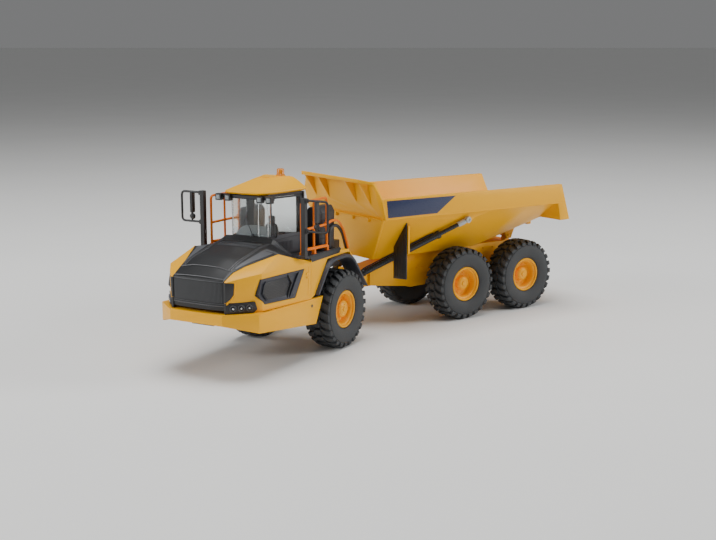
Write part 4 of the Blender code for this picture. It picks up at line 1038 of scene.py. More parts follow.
    def arch_band(self) -> Surface:
        """Curved band round the wheel: rounded outer and inner edges, two side faces."""
        outer = rounded([(172, 94, 0), (137, 140, 0), (74, 141, 0), (25, 81, 0)], 20, 9)[:, :2]
        bends = [(166.9, 93.7, 0), (134.4, 134.8, 0), (76.3, 135.9, 0), (30.2, 82.2, 0)]
        inner = rounded(bends, 18, 9)[:, :2]
        middle = (outer + inner) / 2
        rings = []
        for edge, y, share in ((outer, 60, 1.0), (outer, 85.0, 1.0), (outer, 86.0, 0.7), (inner, 86.0, 0.7),
                               (inner, 85.0, 1.0), (inner, 60, 1.0)):
            flat = middle + (edge - middle) * share
            rings.append(np.column_stack([flat[:, 0], np.full(len(flat), float(y)), flat[:, 1]]))
        return grid(np.stack(rings, 1))

    def build(self, shop: Workshop) -> None:
        """Dress the front body's mouldings and add details to both sides."""
        front = shop.truck.front
        for side in Side:
            shop.soften(f"{side.word}_side_panel", BODY_YELLOW, 0.6)
            shop.soften(f"{side.word}_fender", BODY_YELLOW, 0.6)
            shop.soften(f"{side.word}_headlamp", BLACK, 0.5)
        shop.soften("bumper", BODY_YELLOW, 0.7)
        body = "front_unit"
        shop.pair("intake_frame", self.intake_frame(), front, TRIM_GREY, body,
                  ("{side}_air_intake",), 25)
        shop.pair("intake_mesh_field", self.intake_field(), front, BLACK, body)
        shop.pair("intake_bars", self.intake_bars(), front, TRIM_GREY, body, (), 25)
        shop.pair("intake_strut", self.intake_strut(), front, BLACK, body, (), 25)
        shop.pair("nose_infill", self.nose_recess(), front, BLACK, body, (), 25)
        shop.pair("nose_infill_rim", self.recess_rim(), front, BODY_YELLOW, body, (), 25)
        bowl = [(3.2, 0.4), (3.5, 1.2), (4.0, 1.5), (4.5, 1.3), (4.7, 0.8), (4.7, -0.4), (3.2, -0.4)]
        shop.pair("headlamp_housing_face", self.lamp_face(), front, BLACK, body, (), 30)
        shop.pair("headlamp_rings", self.lamp(bowl), front, DARK, body)
        bulb = [(0, 2.5), (0.9, 2.3), (1.3, 1.7), (0, 1.5)]
        shop.pair("headlamp_bulbs", self.lamp(bulb), front, BRIGHT, body)
        lens = [(0, 1.9), (1.5, 1.75), (2.6, 1.3), (3.3, 0.7), (3.3, -0.2), (0, -0.2)]
        shop.pair("headlamp_lenses", self.lamp(lens), front, SMOKED, body)
        shop.pair("side_latch", self.latch(), front, BODY_YELLOW, body)
        shop.pair("bumper_side_lip", self.bumper_lip(), front, BODY_YELLOW, body)
        shop.pair("bumper_plug", self.plug(), front, DARK, body)
        shop.pair("fender_film_band", self.band(), front, FILM_BLACK, body)
        shop.pair("arch_band", self.arch_band(), front, TRIM_GREY, body,
                  ("{side}_arch_trim",), 40)


# ------------------------------------------------------------------ cab

@dataclass
class Cab:
    """Dark lower cab, clear upper canopy, door, roof, work lamps and interior."""

    rear_x: float = 148.0
    front_x: float = 214.0
    rear_half: float = 50.0
    front_half: float = 31.0
    low: float = 106.0
    sill: float = 178.5
    door_low: float = 152.0
    head: float = 238.0
    thick: float = 4.0
    work_lamps: tuple = (-42.4, -27, 27, 42.4)
    beacon_at: tuple = (156, 14, 0)

    def outline(self, draw: float = 0.0) -> Array:
        """Plan of the cab from front left round its rear to front right, drawn in."""
        corners = np.array([(self.front_x, self.front_half), (self.rear_x, self.rear_half),
                            (self.rear_x, -self.rear_half), (self.front_x, -self.front_half)])
        return inset(corners, draw)

    def door_plane(self) -> Plane:
        """The left wall's outer face, u running backward from the front corner."""
        return Plane((self.front_x, self.front_half, 0),
                     (self.rear_x - self.front_x, self.rear_half - self.front_half, 0), (0, 0, 1))

    def side_length(self) -> float:
        """Length of the left wall."""
        return math.hypot(self.rear_x - self.front_x, self.rear_half - self.front_half)

    def rear_plane(self) -> Plane:
        """The rear wall's outer face, u running to the right side."""
        return Plane((self.rear_x, 0, 0), (0, -1, 0), (0, 0, 1))

    def lower_body(self) -> Surface:
        """Walls below the door, then three walls up to the sill, with a floor."""
        base = walls(self.outline(), self.thick, self.low, self.door_low - 0.4)
        outer, inner = self.outline(), self.outline(self.thick)
        along = (outer[1] - outer[0]) / np.linalg.norm(outer[1] - outer[0])
        front_end, rear_end = outer[0] + along * 4.3, outer[1] - along * 5.6
        inward = np.array([-along[1], along[0]])
        inward = inward if inward[1] < 0 else -inward
        loop = np.array([front_end, outer[0], outer[3], outer[2], outer[1], rear_end,
                         rear_end + inward * self.thick, inner[1], inner[2], inner[3], inner[0],
                         front_end + inward * self.thick])
        upper = loft([(loop, self.door_low - 0.4), (loop, self.sill)])
        floor = bar((self.rear_x + 2, -30, self.low), (self.front_x - 2, 30, self.low + 4))
        mounts = [bar((x, -16, 90.5), (x + 12, 16, self.low + 1)) for x in (156, 194)]
        return joined([base, upper, floor, *mounts])

    def rear_frame(self) -> Surface:
        """Two black pillars and a header round the rear window."""
        plane = self.rear_plane()
        sides = [plate(plane, rectangle(s * 36, self.sill, s * 49.6, self.head), -4.0, -0.1, 0.5)
                 for s in (1, -1)]
        header = plate(plane, rectangle(-36, 232, 36, self.head), -4.0, -0.1, 0.5)
        return joined([*sides, header])

    def canopy(self) -> Surface:
        """Clear moulding round the front and the right, open at the door and the rear."""
        outer, inner = self.outline(0.3), self.outline(2.1)
        along = (outer[1] - outer[0]) / np.linalg.norm(outer[1] - outer[0])
        loop = np.array([outer[0] + along * 4.0, outer[0], outer[3], outer[2] + [4.2, 0],
                         inner[2] + [4.2, 0], inner[3], inner[0], inner[0] + along * 2.2])
        return loft([(loop, self.sill + 0.1), (loop, self.head - 0.6)])

    def header(self) -> Surface:
        """Dark band round the cab's head, under the roof."""
        return walls(self.outline(0.7), 1.6, 234.4, self.head + 0.4)

    def canopy_ribs(self) -> Surface:
        """Thin clear ribs up the corners and down the windscreen's edges."""
        front, side = self.outline(0.0)[0], self.outline(0.0)
        spots = [(self.front_x + 0.1, front[1] - 1.2), (self.front_x + 0.1, -front[1] + 1.2),
                 (self.front_x + 0.1, 14.0)]
        ribs = [bar((x - 0.3, y - 0.7, self.sill + 0.4), (x + 0.7, y + 0.7, 231.5), 0.25) for x, y in spots]
        plane = Plane((self.front_x, -self.front_half, 0),
                      (side[2][0] - side[3][0], side[2][1] - side[3][1], 0), (0, 0, 1))
        for u in (2.0, 34.0, 62.0):
            path = plane.lift([(u, self.sill + 0.4), (u, 210), (u, 234)], 0.0)
            ribs.append(ridge(path, 1.2, 0.6, (0, -1, 0)))
        return joined(ribs)

    def rear_pane(self) -> Surface:
        """Clear pane let into the rear wall."""
        return plate(self.rear_plane(), rectangle(-36.5, self.sill + 0.4, 36.5, 232.2), -2.8, -1.4, 0.3)

    def door_panel(self) -> Surface:
        """Dark lower door with upright slits and a raised edge."""
        plane = self.door_plane()
        ahead, behind = self.side_length() - 64.0, self.side_length() - 6.0
        body = plate(plane, rectangle(ahead, self.door_low + 0.2, behind, self.sill + 1.5), -3.9, 0.0, 0.5)
        slits = [ridge(plane.lift([(u, 156.5), (u, 163), (u, 170)], 0), 1.1, 0.5, (0, 1, 0))
                 for u in np.arange(ahead + 5, ahead + 40, 2.6)]
        line = ridge(plane.lift([(ahead + 2, 173.5), (ahead + 26, 175.2), (behind - 2, 176.8)], 0), 1.2, 0.6,
                     (0, 1, 0))
        return joined([body, line, *slits])

    def door_window(self, frame: bool) -> Surface:
        """The door's clear pane, or the thin dark edge round it.

        Args:
            frame: the edge in place of the pane.

        Returns:
            The surface.
        """
        plane = self.door_plane()
        ahead, behind = self.side_length() - 63.6, self.side_length() - 6.4
        if not frame:
            return plate(plane, rectangle(ahead, self.sill + 1.4, behind, 233.4), -2.4, -0.8, 0.3)
        sill = self.sill + 1
        return joined([plate(plane, rectangle(*box), -3.0, 0.0, 0.4) for box in (
            (behind - 2.6, sill, behind + 0.2, 233.8), (ahead, 231.6, behind, 233.8),
            (ahead, sill, ahead + 1.5, 233.8))])

    def door_handle(self) -> Surface:
        """Bow handle on the door's front edge."""
        plane = self.door_plane()
        corners = [(12.0, 178.0, -0.2), (12.0, 178.0, 3.2), (12.0, 196.0, 3.2), (12.0, 196.0, -0.2)]
        u, v, w = plane.axes()
        path = np.array([np.array(plane.origin) + a * u + b * v + c * w for a, b, c in corners])
        return tube(rounded([tuple(p) for p in path], 2.0), 0.9, 10)

    def wiper(self) -> Surface:
        """Arm and blade lying across the windscreen."""
        x = self.front_x + 1.6
        arm = tube(np.array([(x, 5, 180), (x + 0.3, -1, 193), (x + 0.2, -6.5, 206)]), 0.55, 10)
        blade = bar((-0.5, -0.6, -13), (0.5, 0.6, 13), 0.3)
        lean = math.radians(22)
        turn = np.array([[1, 0, 0],
                         [0, math.cos(lean), math.sin(lean)],
                         [0, -math.sin(lean), math.cos(lean)]])
        return joined([arm, blade.turned(turn).moved((x + 0.2, -6.2, 207)),
                       bar((x - 1.4, 3.4, 178.6), (x + 0.8, 6.6, 182))])

    def dash_pad(self) -> Surface:
        """Light hump behind the windscreen: rings across it rise and narrow backward."""
        rings = []
        base = 178.0
        turn = np.linspace(0, math.pi, 15)
        for x, half, top in ((210.8, 27.4, 180.6), (208.0, 27.8, 183.4), (203.0, 28.0, 188.4),
                             (199.0, 26.5, 191.8), (197.4, 25.0, 191.4)):
            rise = base + (top - base) * np.sin(turn) ** 0.4
            arch = np.column_stack([np.full(15, x), half * np.cos(turn), rise])
            rings.append(np.vstack([arch, [(x, -half, base - 0.8), (x, half, base - 0.8)]]))
        return grid(np.stack(rings))

    def seat(self) -> Surface:
        """Crowned seat cushion and a shaped back on a pedestal, each a stack of rounded rings."""
        def pad(sections: list[tuple[Array, float, float]], steps: int = 20) -> Surface:
            turn = np.linspace(0, math.tau, steps, endpoint=False)
            ring = np.stack([np.sign(np.cos(turn)) * np.abs(np.cos(turn)) ** 0.5,
                             np.sign(np.sin(turn)) * np.abs(np.sin(turn)) ** 0.5], 1)
            return grid(np.stack([np.asarray(centre) + np.column_stack([
                ring[:, 0] * deep, ring[:, 1] * wide, np.zeros(steps)]) for centre, deep, wide in sections]))
        cushion = pad([((170, 0, 145), 11, 10), ((170, 0, 146), 13, 12.2), ((170, 0, 150), 14, 13),
                       ((170, 0, 152.4), 13, 12), ((170, 0, 153.2), 10, 9)])
        back = pad([((159.4, 0, 148), 3.0, 10), ((159.2, 0, 156), 3.6, 11.6), ((158.4, 0, 175), 3.7, 12),
                    ((157.6, 0, 186), 3.1, 10.6), ((157.3, 0, 189), 2.4, 7), ((157.1, 0, 191), 2.6, 6.6),
                    ((156.9, 0, 198.6), 2.6, 6.8), ((156.8, 0, 200), 1.8, 5.4)])
        post = bar((160, -8, 110.4), (178, 8, 145.5), 0.8)
        return joined([cushion, back, post])

    def roof_details(self) -> Surface:
        """Two raised ribs along the crown and the beacon's seat."""
        ribs = [ridge(np.array([(148.0, y0, 257.6), (164, y0 * 0.7, 257.9), (178, y0 * 0.4, 257.3)]),
                      1.6, 0.8)
                for y0 in (24.0, -14.0)]
        seat = revolve([(0, 259.3), (7.0, 259.3), (7.6, 258.7), (7.9, 258.0), (0, 258.0)], 28, "z")
        return joined([*ribs, seat.moved(self.beacon_at)])

    def beacon(self) -> Surface:
        """Ribbed amber cap: a turned profile."""
        profile = [(0, 258.8), (6.3, 258.8), (6.3, 260.4), (5.6, 260.9), (5.4, 261.4), (5.5, 262.6),
                   (5.3, 262.9), (5.4, 264.2), (5.2, 264.5), (5.3, 265.8), (5.1, 266.1), (5.1, 267.8),
                   (4.6, 268.7), (3.4, 269.2), (0, 269.3)]
        return revolve(profile, 36, "z").moved(self.beacon_at)

    def lamp_heads(self) -> Surface:
        """Square bezels of the four work lamps."""
        return joined([bar((223.6, y - 4.7, 228.4), (231.0, y + 4.7, 238.0), 0.7) for y in self.work_lamps])

    def lamp_lenses(self) -> Surface:
        """Square lens with a cross rib on each work lamp."""
        plane = Plane((231.0, 0, 0), (0, 1, 0), (0, 0, 1))
        parts = []
        for y in self.work_lamps:
            parts.append(plate(plane, rectangle(y - 2.9, 230.4, y + 2.9, 236.0), -0.4, 0.5, 0.3))
            parts.append(ridge(plane.lift([(y - 2.7, 233.2), (y, 233.2), (y + 2.7, 233.2)], 0.45), 0.7, 0.35,
                               (1, 0, 0)))
        return joined(parts)

    def visor(self) -> Surface:
        """Black brow under the roof's front edge, and the bar ahead of it that holds the lamps."""
        carrier = bar((221.6, -47, 232.2), (226.6, 47, 237.8), 0.6)
        return carrier + bar((214.4, -30, 231.8), (222.4, 30, 237.9), 0.6)

    def cowl(self) -> Surface:
        """Bulkhead strip under the windscreen: its cross-section falls outward from a flat middle."""
        rings = []
        for x, top in ((self.front_x + 0.3, 178.0), (self.front_x + 2.0, 178.2), (221.7, 172.4)):
            half = [(75, 148.0), (75, 154.5), (58, 163.2 + (top - 172) * 0.3), (40, top - 1.0),
                    (20, top), (0, top)]
            line = half + [(-y, z) for y, z in reversed(half[:-1])]
            rings.append([(x, y, z) for y, z in line])
        return grid(np.array(rings, float))

    def roof(self) -> Surface:
        """Roof shell: a thin lip, then a slope that rises to a small crown near the rear.

        Ring k of the slope lies at share s between the lip and the crown, raised by 1 - (1 - s)^1.2.
        The crown leans to the left, as the toy's does.
        """
        lip = [(232, -31), (233.5, 0), (232, 31), (190, 43), (146, 51.5), (139, 46), (138.5, 0), (139, -46),
               (146, -51.5), (190, -43)]
        crown = [(178, -7), (179, 0), (178, 9), (166, 22), (151, 31), (146, 29), (143.5, 0), (145, -18),
                 (150, -19), (166, -14)]
        edge = rounded([(x, y, 0) for x, y in lip], 7, 5, True)[:, :2]
        inner = rounded([(x, y, 0) for x, y in crown], 7, 5, True)[:, :2]
        low = self.head + 0.3
        middle = edge.mean(0)
        rings = [(middle + (edge - middle) * 0.86, low), (middle + (edge - middle) * 0.97, low + 1.4),
                 (middle + (edge - middle) * 1.008, low + 3.4), (edge, low + 4.6)]
        for share in (0.15, 0.35, 0.55, 0.75, 0.9, 1.0):
            rings.append((edge + (inner - edge) * share, low + 4.6 + 14.4 * (1 - (1 - share) ** 1.2)))
        rings.append((middle + (inner - middle) * 0.9, 258.2))
        return loft(rings)

    def cowl_lines(self) -> Surface:
        """Upright slits on the bulkhead's sloped side beside the bonnet."""
        slits = []
        for side in (1, -1):
            for share in np.linspace(0.12, 0.9, 15):
                y = 74 - 33 * share
                foot = np.interp(y, (40, 58, 75), (176.0, 164.6, 154.6))
                tip = np.interp(y, (40, 58, 75), (171.8, 163.4, 154.6))
                slits.append(ridge(np.array([(215.6, side * y, foot), (218.5, side * y, (foot + tip) / 2),
                                             (221.2, side * y, tip)]), 0.9, 0.7))
        return joined(slits)

    def build(self, shop: Workshop) -> None:
        """Build the cab; its door parts ride on the door's body."""
        front, body = shop.truck.front, "front_unit"
        shop.piece("cab_lower_body", self.lower_body(), front, BLACK, body, ("cab_shell",), 30)
        shop.piece("cab_head_band", self.header(), front, BLACK, body, (), 30)
        shop.piece("cab_rear_pillars", self.rear_frame(), front, BLACK, body, (), 30)
        shop.piece("cab_clear_canopy", self.canopy(), front, CLEAR, body, ("cab_glazing",), 30)
        shop.piece("cab_canopy_ribs", self.canopy_ribs(), front, CLEAR, body, (), 30)
        shop.piece("cab_rear_pane", self.rear_pane(), front, CLEAR, body, (), 30)
        shop.piece("door_lower_panel", self.door_panel(), front, DARK, "cab_door",
                   ("cab_door",), 30)
        shop.piece("door_window_edge", self.door_window(True), front, BLACK, "cab_door",
                   (), 30)
        shop.piece("door_clear_pane", self.door_window(False), front, CLEAR, "cab_door",
                   ("door_window",), 30)
        shop.piece("door_handle", self.door_handle(), front, BLACK, "cab_door")
        shop.piece("windscreen_wiper", self.wiper(), front, DARK, body)
        shop.piece("dash_pad", self.dash_pad(), front, COWL_GREY, body)
        shop.piece("seat_moulding", self.seat(), front, DARK, body, ("driver_seat",))
        shop.soften("dashboard", DARK, 0.3)
        shop.piece("cab_roof_shell", self.roof(), front, ROOF_YELLOW, body, ("cab_roof",), 30)
        shop.piece("windscreen_bulkhead", self.cowl(), front, BONNET_BLACK, body,
                   ("windscreen_cowl",), 24)
        shop.piece("cowl_slits", self.cowl_lines(), front, DARK, body, (), 30)
        shop.piece("roof_ribs", self.roof_details(), front, ROOF_YELLOW, body)
        shop.piece("beacon_cap", self.beacon(), front, AMBER, body, ("beacon",), 40)
        shop.piece("roof_visor", self.visor(), front, BLACK, body, ("work_lamp_bar",), 30)
        shop.piece("work_lamp_heads", self.lamp_heads(), front, BLACK, body, (), 30)
        shop.piece("work_lamp_lenses", self.lamp_lenses(), front, LENS_WHITE, body, (), 30)


# ------------------------------------------------------------------ platforms

@dataclass
class Platforms:
    """Side decks, guard rails, mirrors, and the boxes behind the cab."""

    rail_y: float = 77.0
    foot: float = 151.3
    deck_top: float = 150.95
    front_x: float = 201.0
    post_x: float = 168.0
    rear_x: float = 133.0
    top: float = 229.0
    middle: float = 190.0
    bar_radius: float = 1.8
    mirror_x: float = 208.0
    mirror_y: float = 86.0
    mirror_top: float = 237.0
    mirror_out: float = 124.0

    def guard_rail(self) -> Surface:
        """Bent round bars: the upper hoop, two cross bars, a post and the rear arch."""
        y, r = self.rail_y, self.bar_radius
        ahead, post, behind = self.front_x, self.post_x, self.rear_x
        foot, middle, top = self.foot, self.middle, self.top
        hoop = [(ahead, y, foot), (ahead, y, top), (behind, y, top), (behind, y, foot)]
        arch = [(behind, y, middle), (117, y, 194), (99, y, 191),
                (85, y, 176), (75, y, 156), (71, y, 146.5)]
        parts = [tube(rounded(hoop, 6.0), r), tube(rounded(arch, 8.0), r),
                 tube([(ahead, y, middle), (post, y, middle), (behind, y, middle)], r),
                 tube([(post, y, foot), (post, y, middle), (post, y, top)], r * 0.9),
                 tube([(ahead - 3, y, 162), (170, y, 160.5), (behind + 1, y, 159)], r * 1.25)]
        for x in (ahead, post, behind):
            parts.append(bar((x - 2.6, y - 3, foot), (x + 2.6, y + 3, foot + 2.2), 0.6))
            parts.append(bar((x - 2.2, y - 2.2, foot + 1.8), (x + 2.2, y + 2.2, foot + 9), 0.8))
        parts.append(bar((behind - 2.6, y - 2.4, middle - 5), (behind + 2.6, y + 2.4, middle + 4), 0.8))
        return joined(parts)

    def mirror(self) -> Surface:
        """Post, foot pad, loop and mirror heads."""
        x, y = self.mirror_x, self.mirror_y
        post = bar((x - 3.5, y - 3.2, self.foot + 2.6), (x + 3.5, y + 3.2, self.mirror_top), 0.9)
        pad = bar((x - 4, 76, self.foot + 1.9), (x + 4, y + 3.7, self.foot + 5), 0.6)
        low, high, out = self.mirror_top - 46, self.mirror_top - 3, self.mirror_out
        loop = tube(rounded([(x, y, high), (x, out, high), (x, out, low), (x, y, low)], 6.0), 1.7, 12)
        lugs = [bar((x - 2.6, y + 2.6, z - 3.2), (x + 2.6, y + 6.4, z + 3.2), 0.7)
                for z in (low, high - 0.6)]
        head = bar((x - 4.6, 104.0, low + 12), (x + 2.4, 108.0, high + 0.6), 1.2)
        stem = tube(np.array([(x, 106, low + 0.2), (x, 106, low + 7), (x, 106, low + 14)]), 1.4, 10)
        profile = [(0, 2.8), (2.2, 2.5), (3.8, 1.6), (4.6, 0.2), (4.7, -1.2), (4.2, -2.0), (0, -2.0)]
        dome = revolve(profile, 24, "x")
        return joined([post, pad, loop, *lugs, head, stem, dome.moved((x - 0.6, 106, low + 7))])

    def mirror_glass(self) -> Surface:
        """Flat pane on the back of the tall head and a domed one on the small head."""
        low, high, x = self.mirror_top - 46, self.mirror_top - 3, self.mirror_x
        plane = Plane((x - 4.6, 106, 0), (0, -1, 0), (0, 0, 1))
        tall = plate(plane, rectangle(-1.4, low + 13.6, 1.4, high - 1), -0.2, 0.25, 0.1)
        small = revolve([(0, -2.6), (2.0, -2.5), (3.4, -2.3), (3.6, -1.9), (0, -1.9)], 24, "x")
        return tall + small.moved((x - 0.6, 106, low + 7))

    def tread_studs(self) -> Surface:
        """Raised non-slip bars in rows on the side deck."""
        bars = []
        for i, x in enumerate(np.arange(104, 186, 6.0)):
            for y in np.arange(59 if x > 146 else 47, 73, 5.0):
                lean = 1.4 if i % 2 else -1.4
                line = np.array([(x - 1.4, y - lean), (x, y), (x + 1.4, y + lean)])
                bars.append(ridge(level(line, self.deck_top), 0.9, 0.6))
        return joined(bars)

    def edge_plate(self) -> Surface:
        """Black kick strip along the deck's outer edge."""
        return bar((101, 78.6, 150.4), (189, 80.6, 152.6), 0.4)

    def hose_hoop(self) -> Surface:
        """Black hoop of moulded hoses behind the cab."""
        y = 73.0
        corners = [(120, y, 152), (120, y, 180), (100, y, 186), (82, y, 172), (70, y, 146), (60, y, 128)]
        return tube(rounded(corners, 10.0), 2.4, 12)

    def box_lids(self) -> Surface:
        """Lid seams and ribs on the boxes behind the cab."""
        lids = []
        for side in (1, -1):
            plane = Plane((0, side * 71.0, 0), (-side, 0, 0), (0, 0, 1))
            for z in (168.0, 186.0):
                u0, u1 = (-140, -104)
                line = np.array([(u0 * side, z), (-122 * side, z), (u1 * side, z)])
                lids.append(ridge(plane.lift(line, -0.4 if z > 180 else -0.6), 1.0, 0.6, (0, side, 0)))
        return joined(lids)

    def build(self, shop: Workshop) -> None:
        """Build both sides."""
        front, body = shop.truck.front, "front_unit"
        shop.pair("guard_rail", self.guard_rail(), front, ORANGE, body, ("{side}_handrail",), 40)
        shop.pair("mirror_bracket", self.mirror(), front, BLACK, body, ("{side}_mirror",), 40)
        shop.pair("mirror_glass", self.mirror_glass(), front, MIRROR, body, (), 30)
        for side in Side:
            shop.soften(f"{side.word}_platform", BLACK, 0.4)
        shop.pair("deck_tread", self.tread_studs(), front, BLACK, body, (), 30)
        shop.pair("deck_kick_strip", self.edge_plate(), front, BLACK, body, (), 30)
        shop.piece("hose_hoop", self.hose_hoop(), front, BLACK, body, (), 40)
        shop.soften("rear_deck", BLACK, 0.6)
        shop.soften("air_cleaner", BLACK, 0.9)
        shop.soften("exhaust", BLACK, 0.9)
        shop.piece("deck_box_ribs", self.box_lids(), front, BLACK, body, (), 30)


# ------------------------------------------------------------------ dump body

@dataclass
class DumpBody:
    """Sloped yellow body with its rails, front wall, film, mud flaps and tail lamps."""

    rail_y: float = 103.0

    def rail_plane(self) -> Plane:
        """The left rail's outer face; u is minus X."""
        return Plane((0, self.rail_y, 0), (-1, 0, 0), (0, 0, 1))

    def film(self) -> Surface:
        """Plain navy film on the rail, slanted at both ends."""
        outline = [(-175.5, 184.4), (-78, 183.8), (-40, 208.6), (-178.5, 210.8)]
        return plate(self.rail_plane(), outline, -0.2, 0.12, 0.05)

    def rail_lines(self) -> Surface:
        """A raised lip along the rail's foot."""
        plane = self.rail_plane()
        low = plane.lift([(-177, 182.2), (0, 180.2), (208, 178.2)], -0.3)
        return ridge(low, 1.4, 0.6, (0, 1, 0))

    def flap_strip(self) -> Surface:
        """Narrow yellow strip behind the flap's outer edge."""
        return bar((123.6, 88.6, 122.0), (126.9, 91.8, 167.0), 0.5)

    def flap_ribs(self) -> Surface:
        """Upright ribs moulded on the flap's front."""
        plane = Plane((129.5, 0, 0), (0, 1, 0), (0, 0, 1))
        return joined([ridge(plane.lift([(y, 84), (y, 98), (y, between(y, 60, 118, 88, 158))], 0), 1.2, 0.6,
                             (1, 0, 0)) for y in (63.0, 69.0, 75.0, 81.0, 86.5)])

    def tail_lamps(self, spots: tuple[float, ...]) -> Surface:
        """Round lenses on the left tail bracket's rear face."""
        lens = revolve([(0, 1.5), (1.4, 1.4), (2.2, 0.9), (2.4, 0.2), (2.4, -0.3), (0, -0.3)], 20, "z")
        plane = Plane((-198.0, 26.0, 0), (0, -1, 0), (0, 0, 1))
        return joined([plane.set_in(lens, (u, 138.4), 0.0) for u in spots])

    def wall_lines(self) -> Surface:
        """Crease bead across the front wall, at its bend."""
        y = np.linspace(-95, 95, 9)
        bead = ridge(np.column_stack([np.full(9, 179.9), y, np.full(9, 180.6)]), 3.0, 3.0, (1, 0, 0.2))
        stops = [bar((179.2, v - 1.4, 174.4), (183.6, v + 1.4, 181.4), 0.5) for v in (-62, -22, 22, 62)]
        return joined([bead, *stops])

    def build(self, shop: Workshop) -> None:
        """Dress the body's mouldings and add details."""
        rear, body = shop.truck.rear, "dump_body"
        for node in ("dump_floor", "dump_front_wall", "dump_left_side", "dump_right_side"):
            shop.soften(node, BODY_YELLOW, 0.6)
        for side in Side:
            shop.soften(f"{side.word}_mud_flap", BLACK, 0.4)
        shop.pair("rail_film", self.film(), rear, FILM_NAVY, body, (), 30)
        shop.pair("rail_lip", self.rail_lines(), rear, BODY_YELLOW, body)
        shop.pair("flap_bracket", self.flap_strip(), rear, BODY_YELLOW, body)
        shop.pair("mud_flap_ribs", self.flap_ribs(), rear, BLACK, body)
        shop.pair("tail_lamp_red", self.tail_lamps((-3.6,)), rear, RED, body)
        shop.pair("tail_lamp_amber", self.tail_lamps((3.6,)), rear, AMBER, body)
        shop.piece("front_wall_bead", self.wall_lines(), rear, BODY_YELLOW, body)


# ------------------------------------------------------------------ lift cylinders

@dataclass
class LiftCylinders:
    """Barrels and rods of the two tipping cylinders."""

    foot: tuple[float, float, float] = (186.0, 29.5, 82.2)
    eye: tuple[float, float, float] = (5.0, 94.0, 166.0)
    barrel_length: float = 157.0

    def along(self) -> tuple[Array, float]:
        """Vector from the foot to the eye, and its length."""
        step = np.array(self.eye) - np.array(self.foot)
        return step, float(np.linalg.norm(step))

    def along_plane(self) -> Plane:
        """A plane at the left cylinder's foot, its normal along the cylinder."""
        along, _ = self.along()
        across = np.cross((0, 0, 1), along)
        return Plane(self.foot, tuple(across), tuple(np.cross(along, across)))

    def glands(self) -> Surface:
        """Collars round the barrel's head, middle and foot: turned rings."""
        plane = self.along_plane()
        rings = []
        for at, wide, out in ((self.barrel_length - 3.4, 4.6, 6.4), (18.0, 3.0, 5.9), (92.0, 2.2, 5.6)):
            start, end = at - wide / 2, at + wide / 2
            profile = [(4.8, start), (out - 0.4, start), (out, start + 0.4),
                       (out, end - 0.4), (out - 0.4, end), (4.8, end)]
            rings.append(plane.set_in(revolve(profile, 28, "z")))
        return joined(rings)

    def pipe(self) -> Surface:
        """Thin oil pipe moulded along the barrel's upper side."""
        plane = self.along_plane()
        _, v, w = plane.axes()
        up = v if v[2] > 0 else -v
        spots = [(16, 5.0), (22, 6.4), (140, 6.4), (147, 5.2)]
        path = [tuple(np.array(plane.origin) + w * a + up * b) for a, b in spots]
        return tube(rounded(path, 3.0, 4), 1.1, 10)

    def eye_ring(self) -> Surface:
        """Pale round eye at the rod's end, dished on both faces."""
        profile = [(0, -1.9), (2.1, -1.9), (2.5, -3.1), (4.6, -3.1), (5.2, -2.5), (5.2, 2.5), (4.6, 3.1),
                   (2.5, 3.1), (2.1, 1.9), (0, 1.9)]
        return revolve(profile, 32, "y").moved(self.eye)

    def rod(self) -> Surface:
        """Smooth round rod from inside the barrel to the eye."""
        along, length = self.along()
        along = along / length
        path = [np.array(self.foot) + along * a for a in (8.2, 60.0, 120.0, length - 4.0)]
        return tube(np.array(path), 3.4, 24)

    def sleeve(self) -> Surface:
        """Pale sleeve between the rod and its eye."""
        start, end = self.along()[1] - 19.0, self.along()[1] - 5.0
        profile = [(0, start), (3.9, start), (4.3, start + 0.4), (4.3, end - 3), (3.8, end), (0, end)]
        return self.along_plane().set_in(revolve(profile, 24, "z"))

    def build(self, shop: Workshop) -> None:
        """Build both cylinders on their own bodies."""
        rear = shop.truck.rear
        for side in Side:
            shop.soften(f"{side.word}_lift_barrel", ROD_BLACK, 0.25)
        shop.pair("lift_glands", self.glands(), rear, ROD_BLACK, "{side}_lift_cylinder")
        shop.pair("lift_oil_pipe", self.pipe(), rear, BLACK, "{side}_lift_cylinder")
        shop.pair("lift_piston_rod", self.rod(), rear, ROD_BLACK, "{side}_lift_piston",
                  ("{side}_lift_rod",))
        shop.pair("lift_rod_sleeve", self.sleeve(), rear, ROD_EYE, "{side}_lift_piston", (), 30)
        shop.pair("lift_rod_eye", self.eye_ring(), rear, ROD_EYE, "{side}_lift_piston", (), 30)


# ------------------------------------------------------------------ chassis

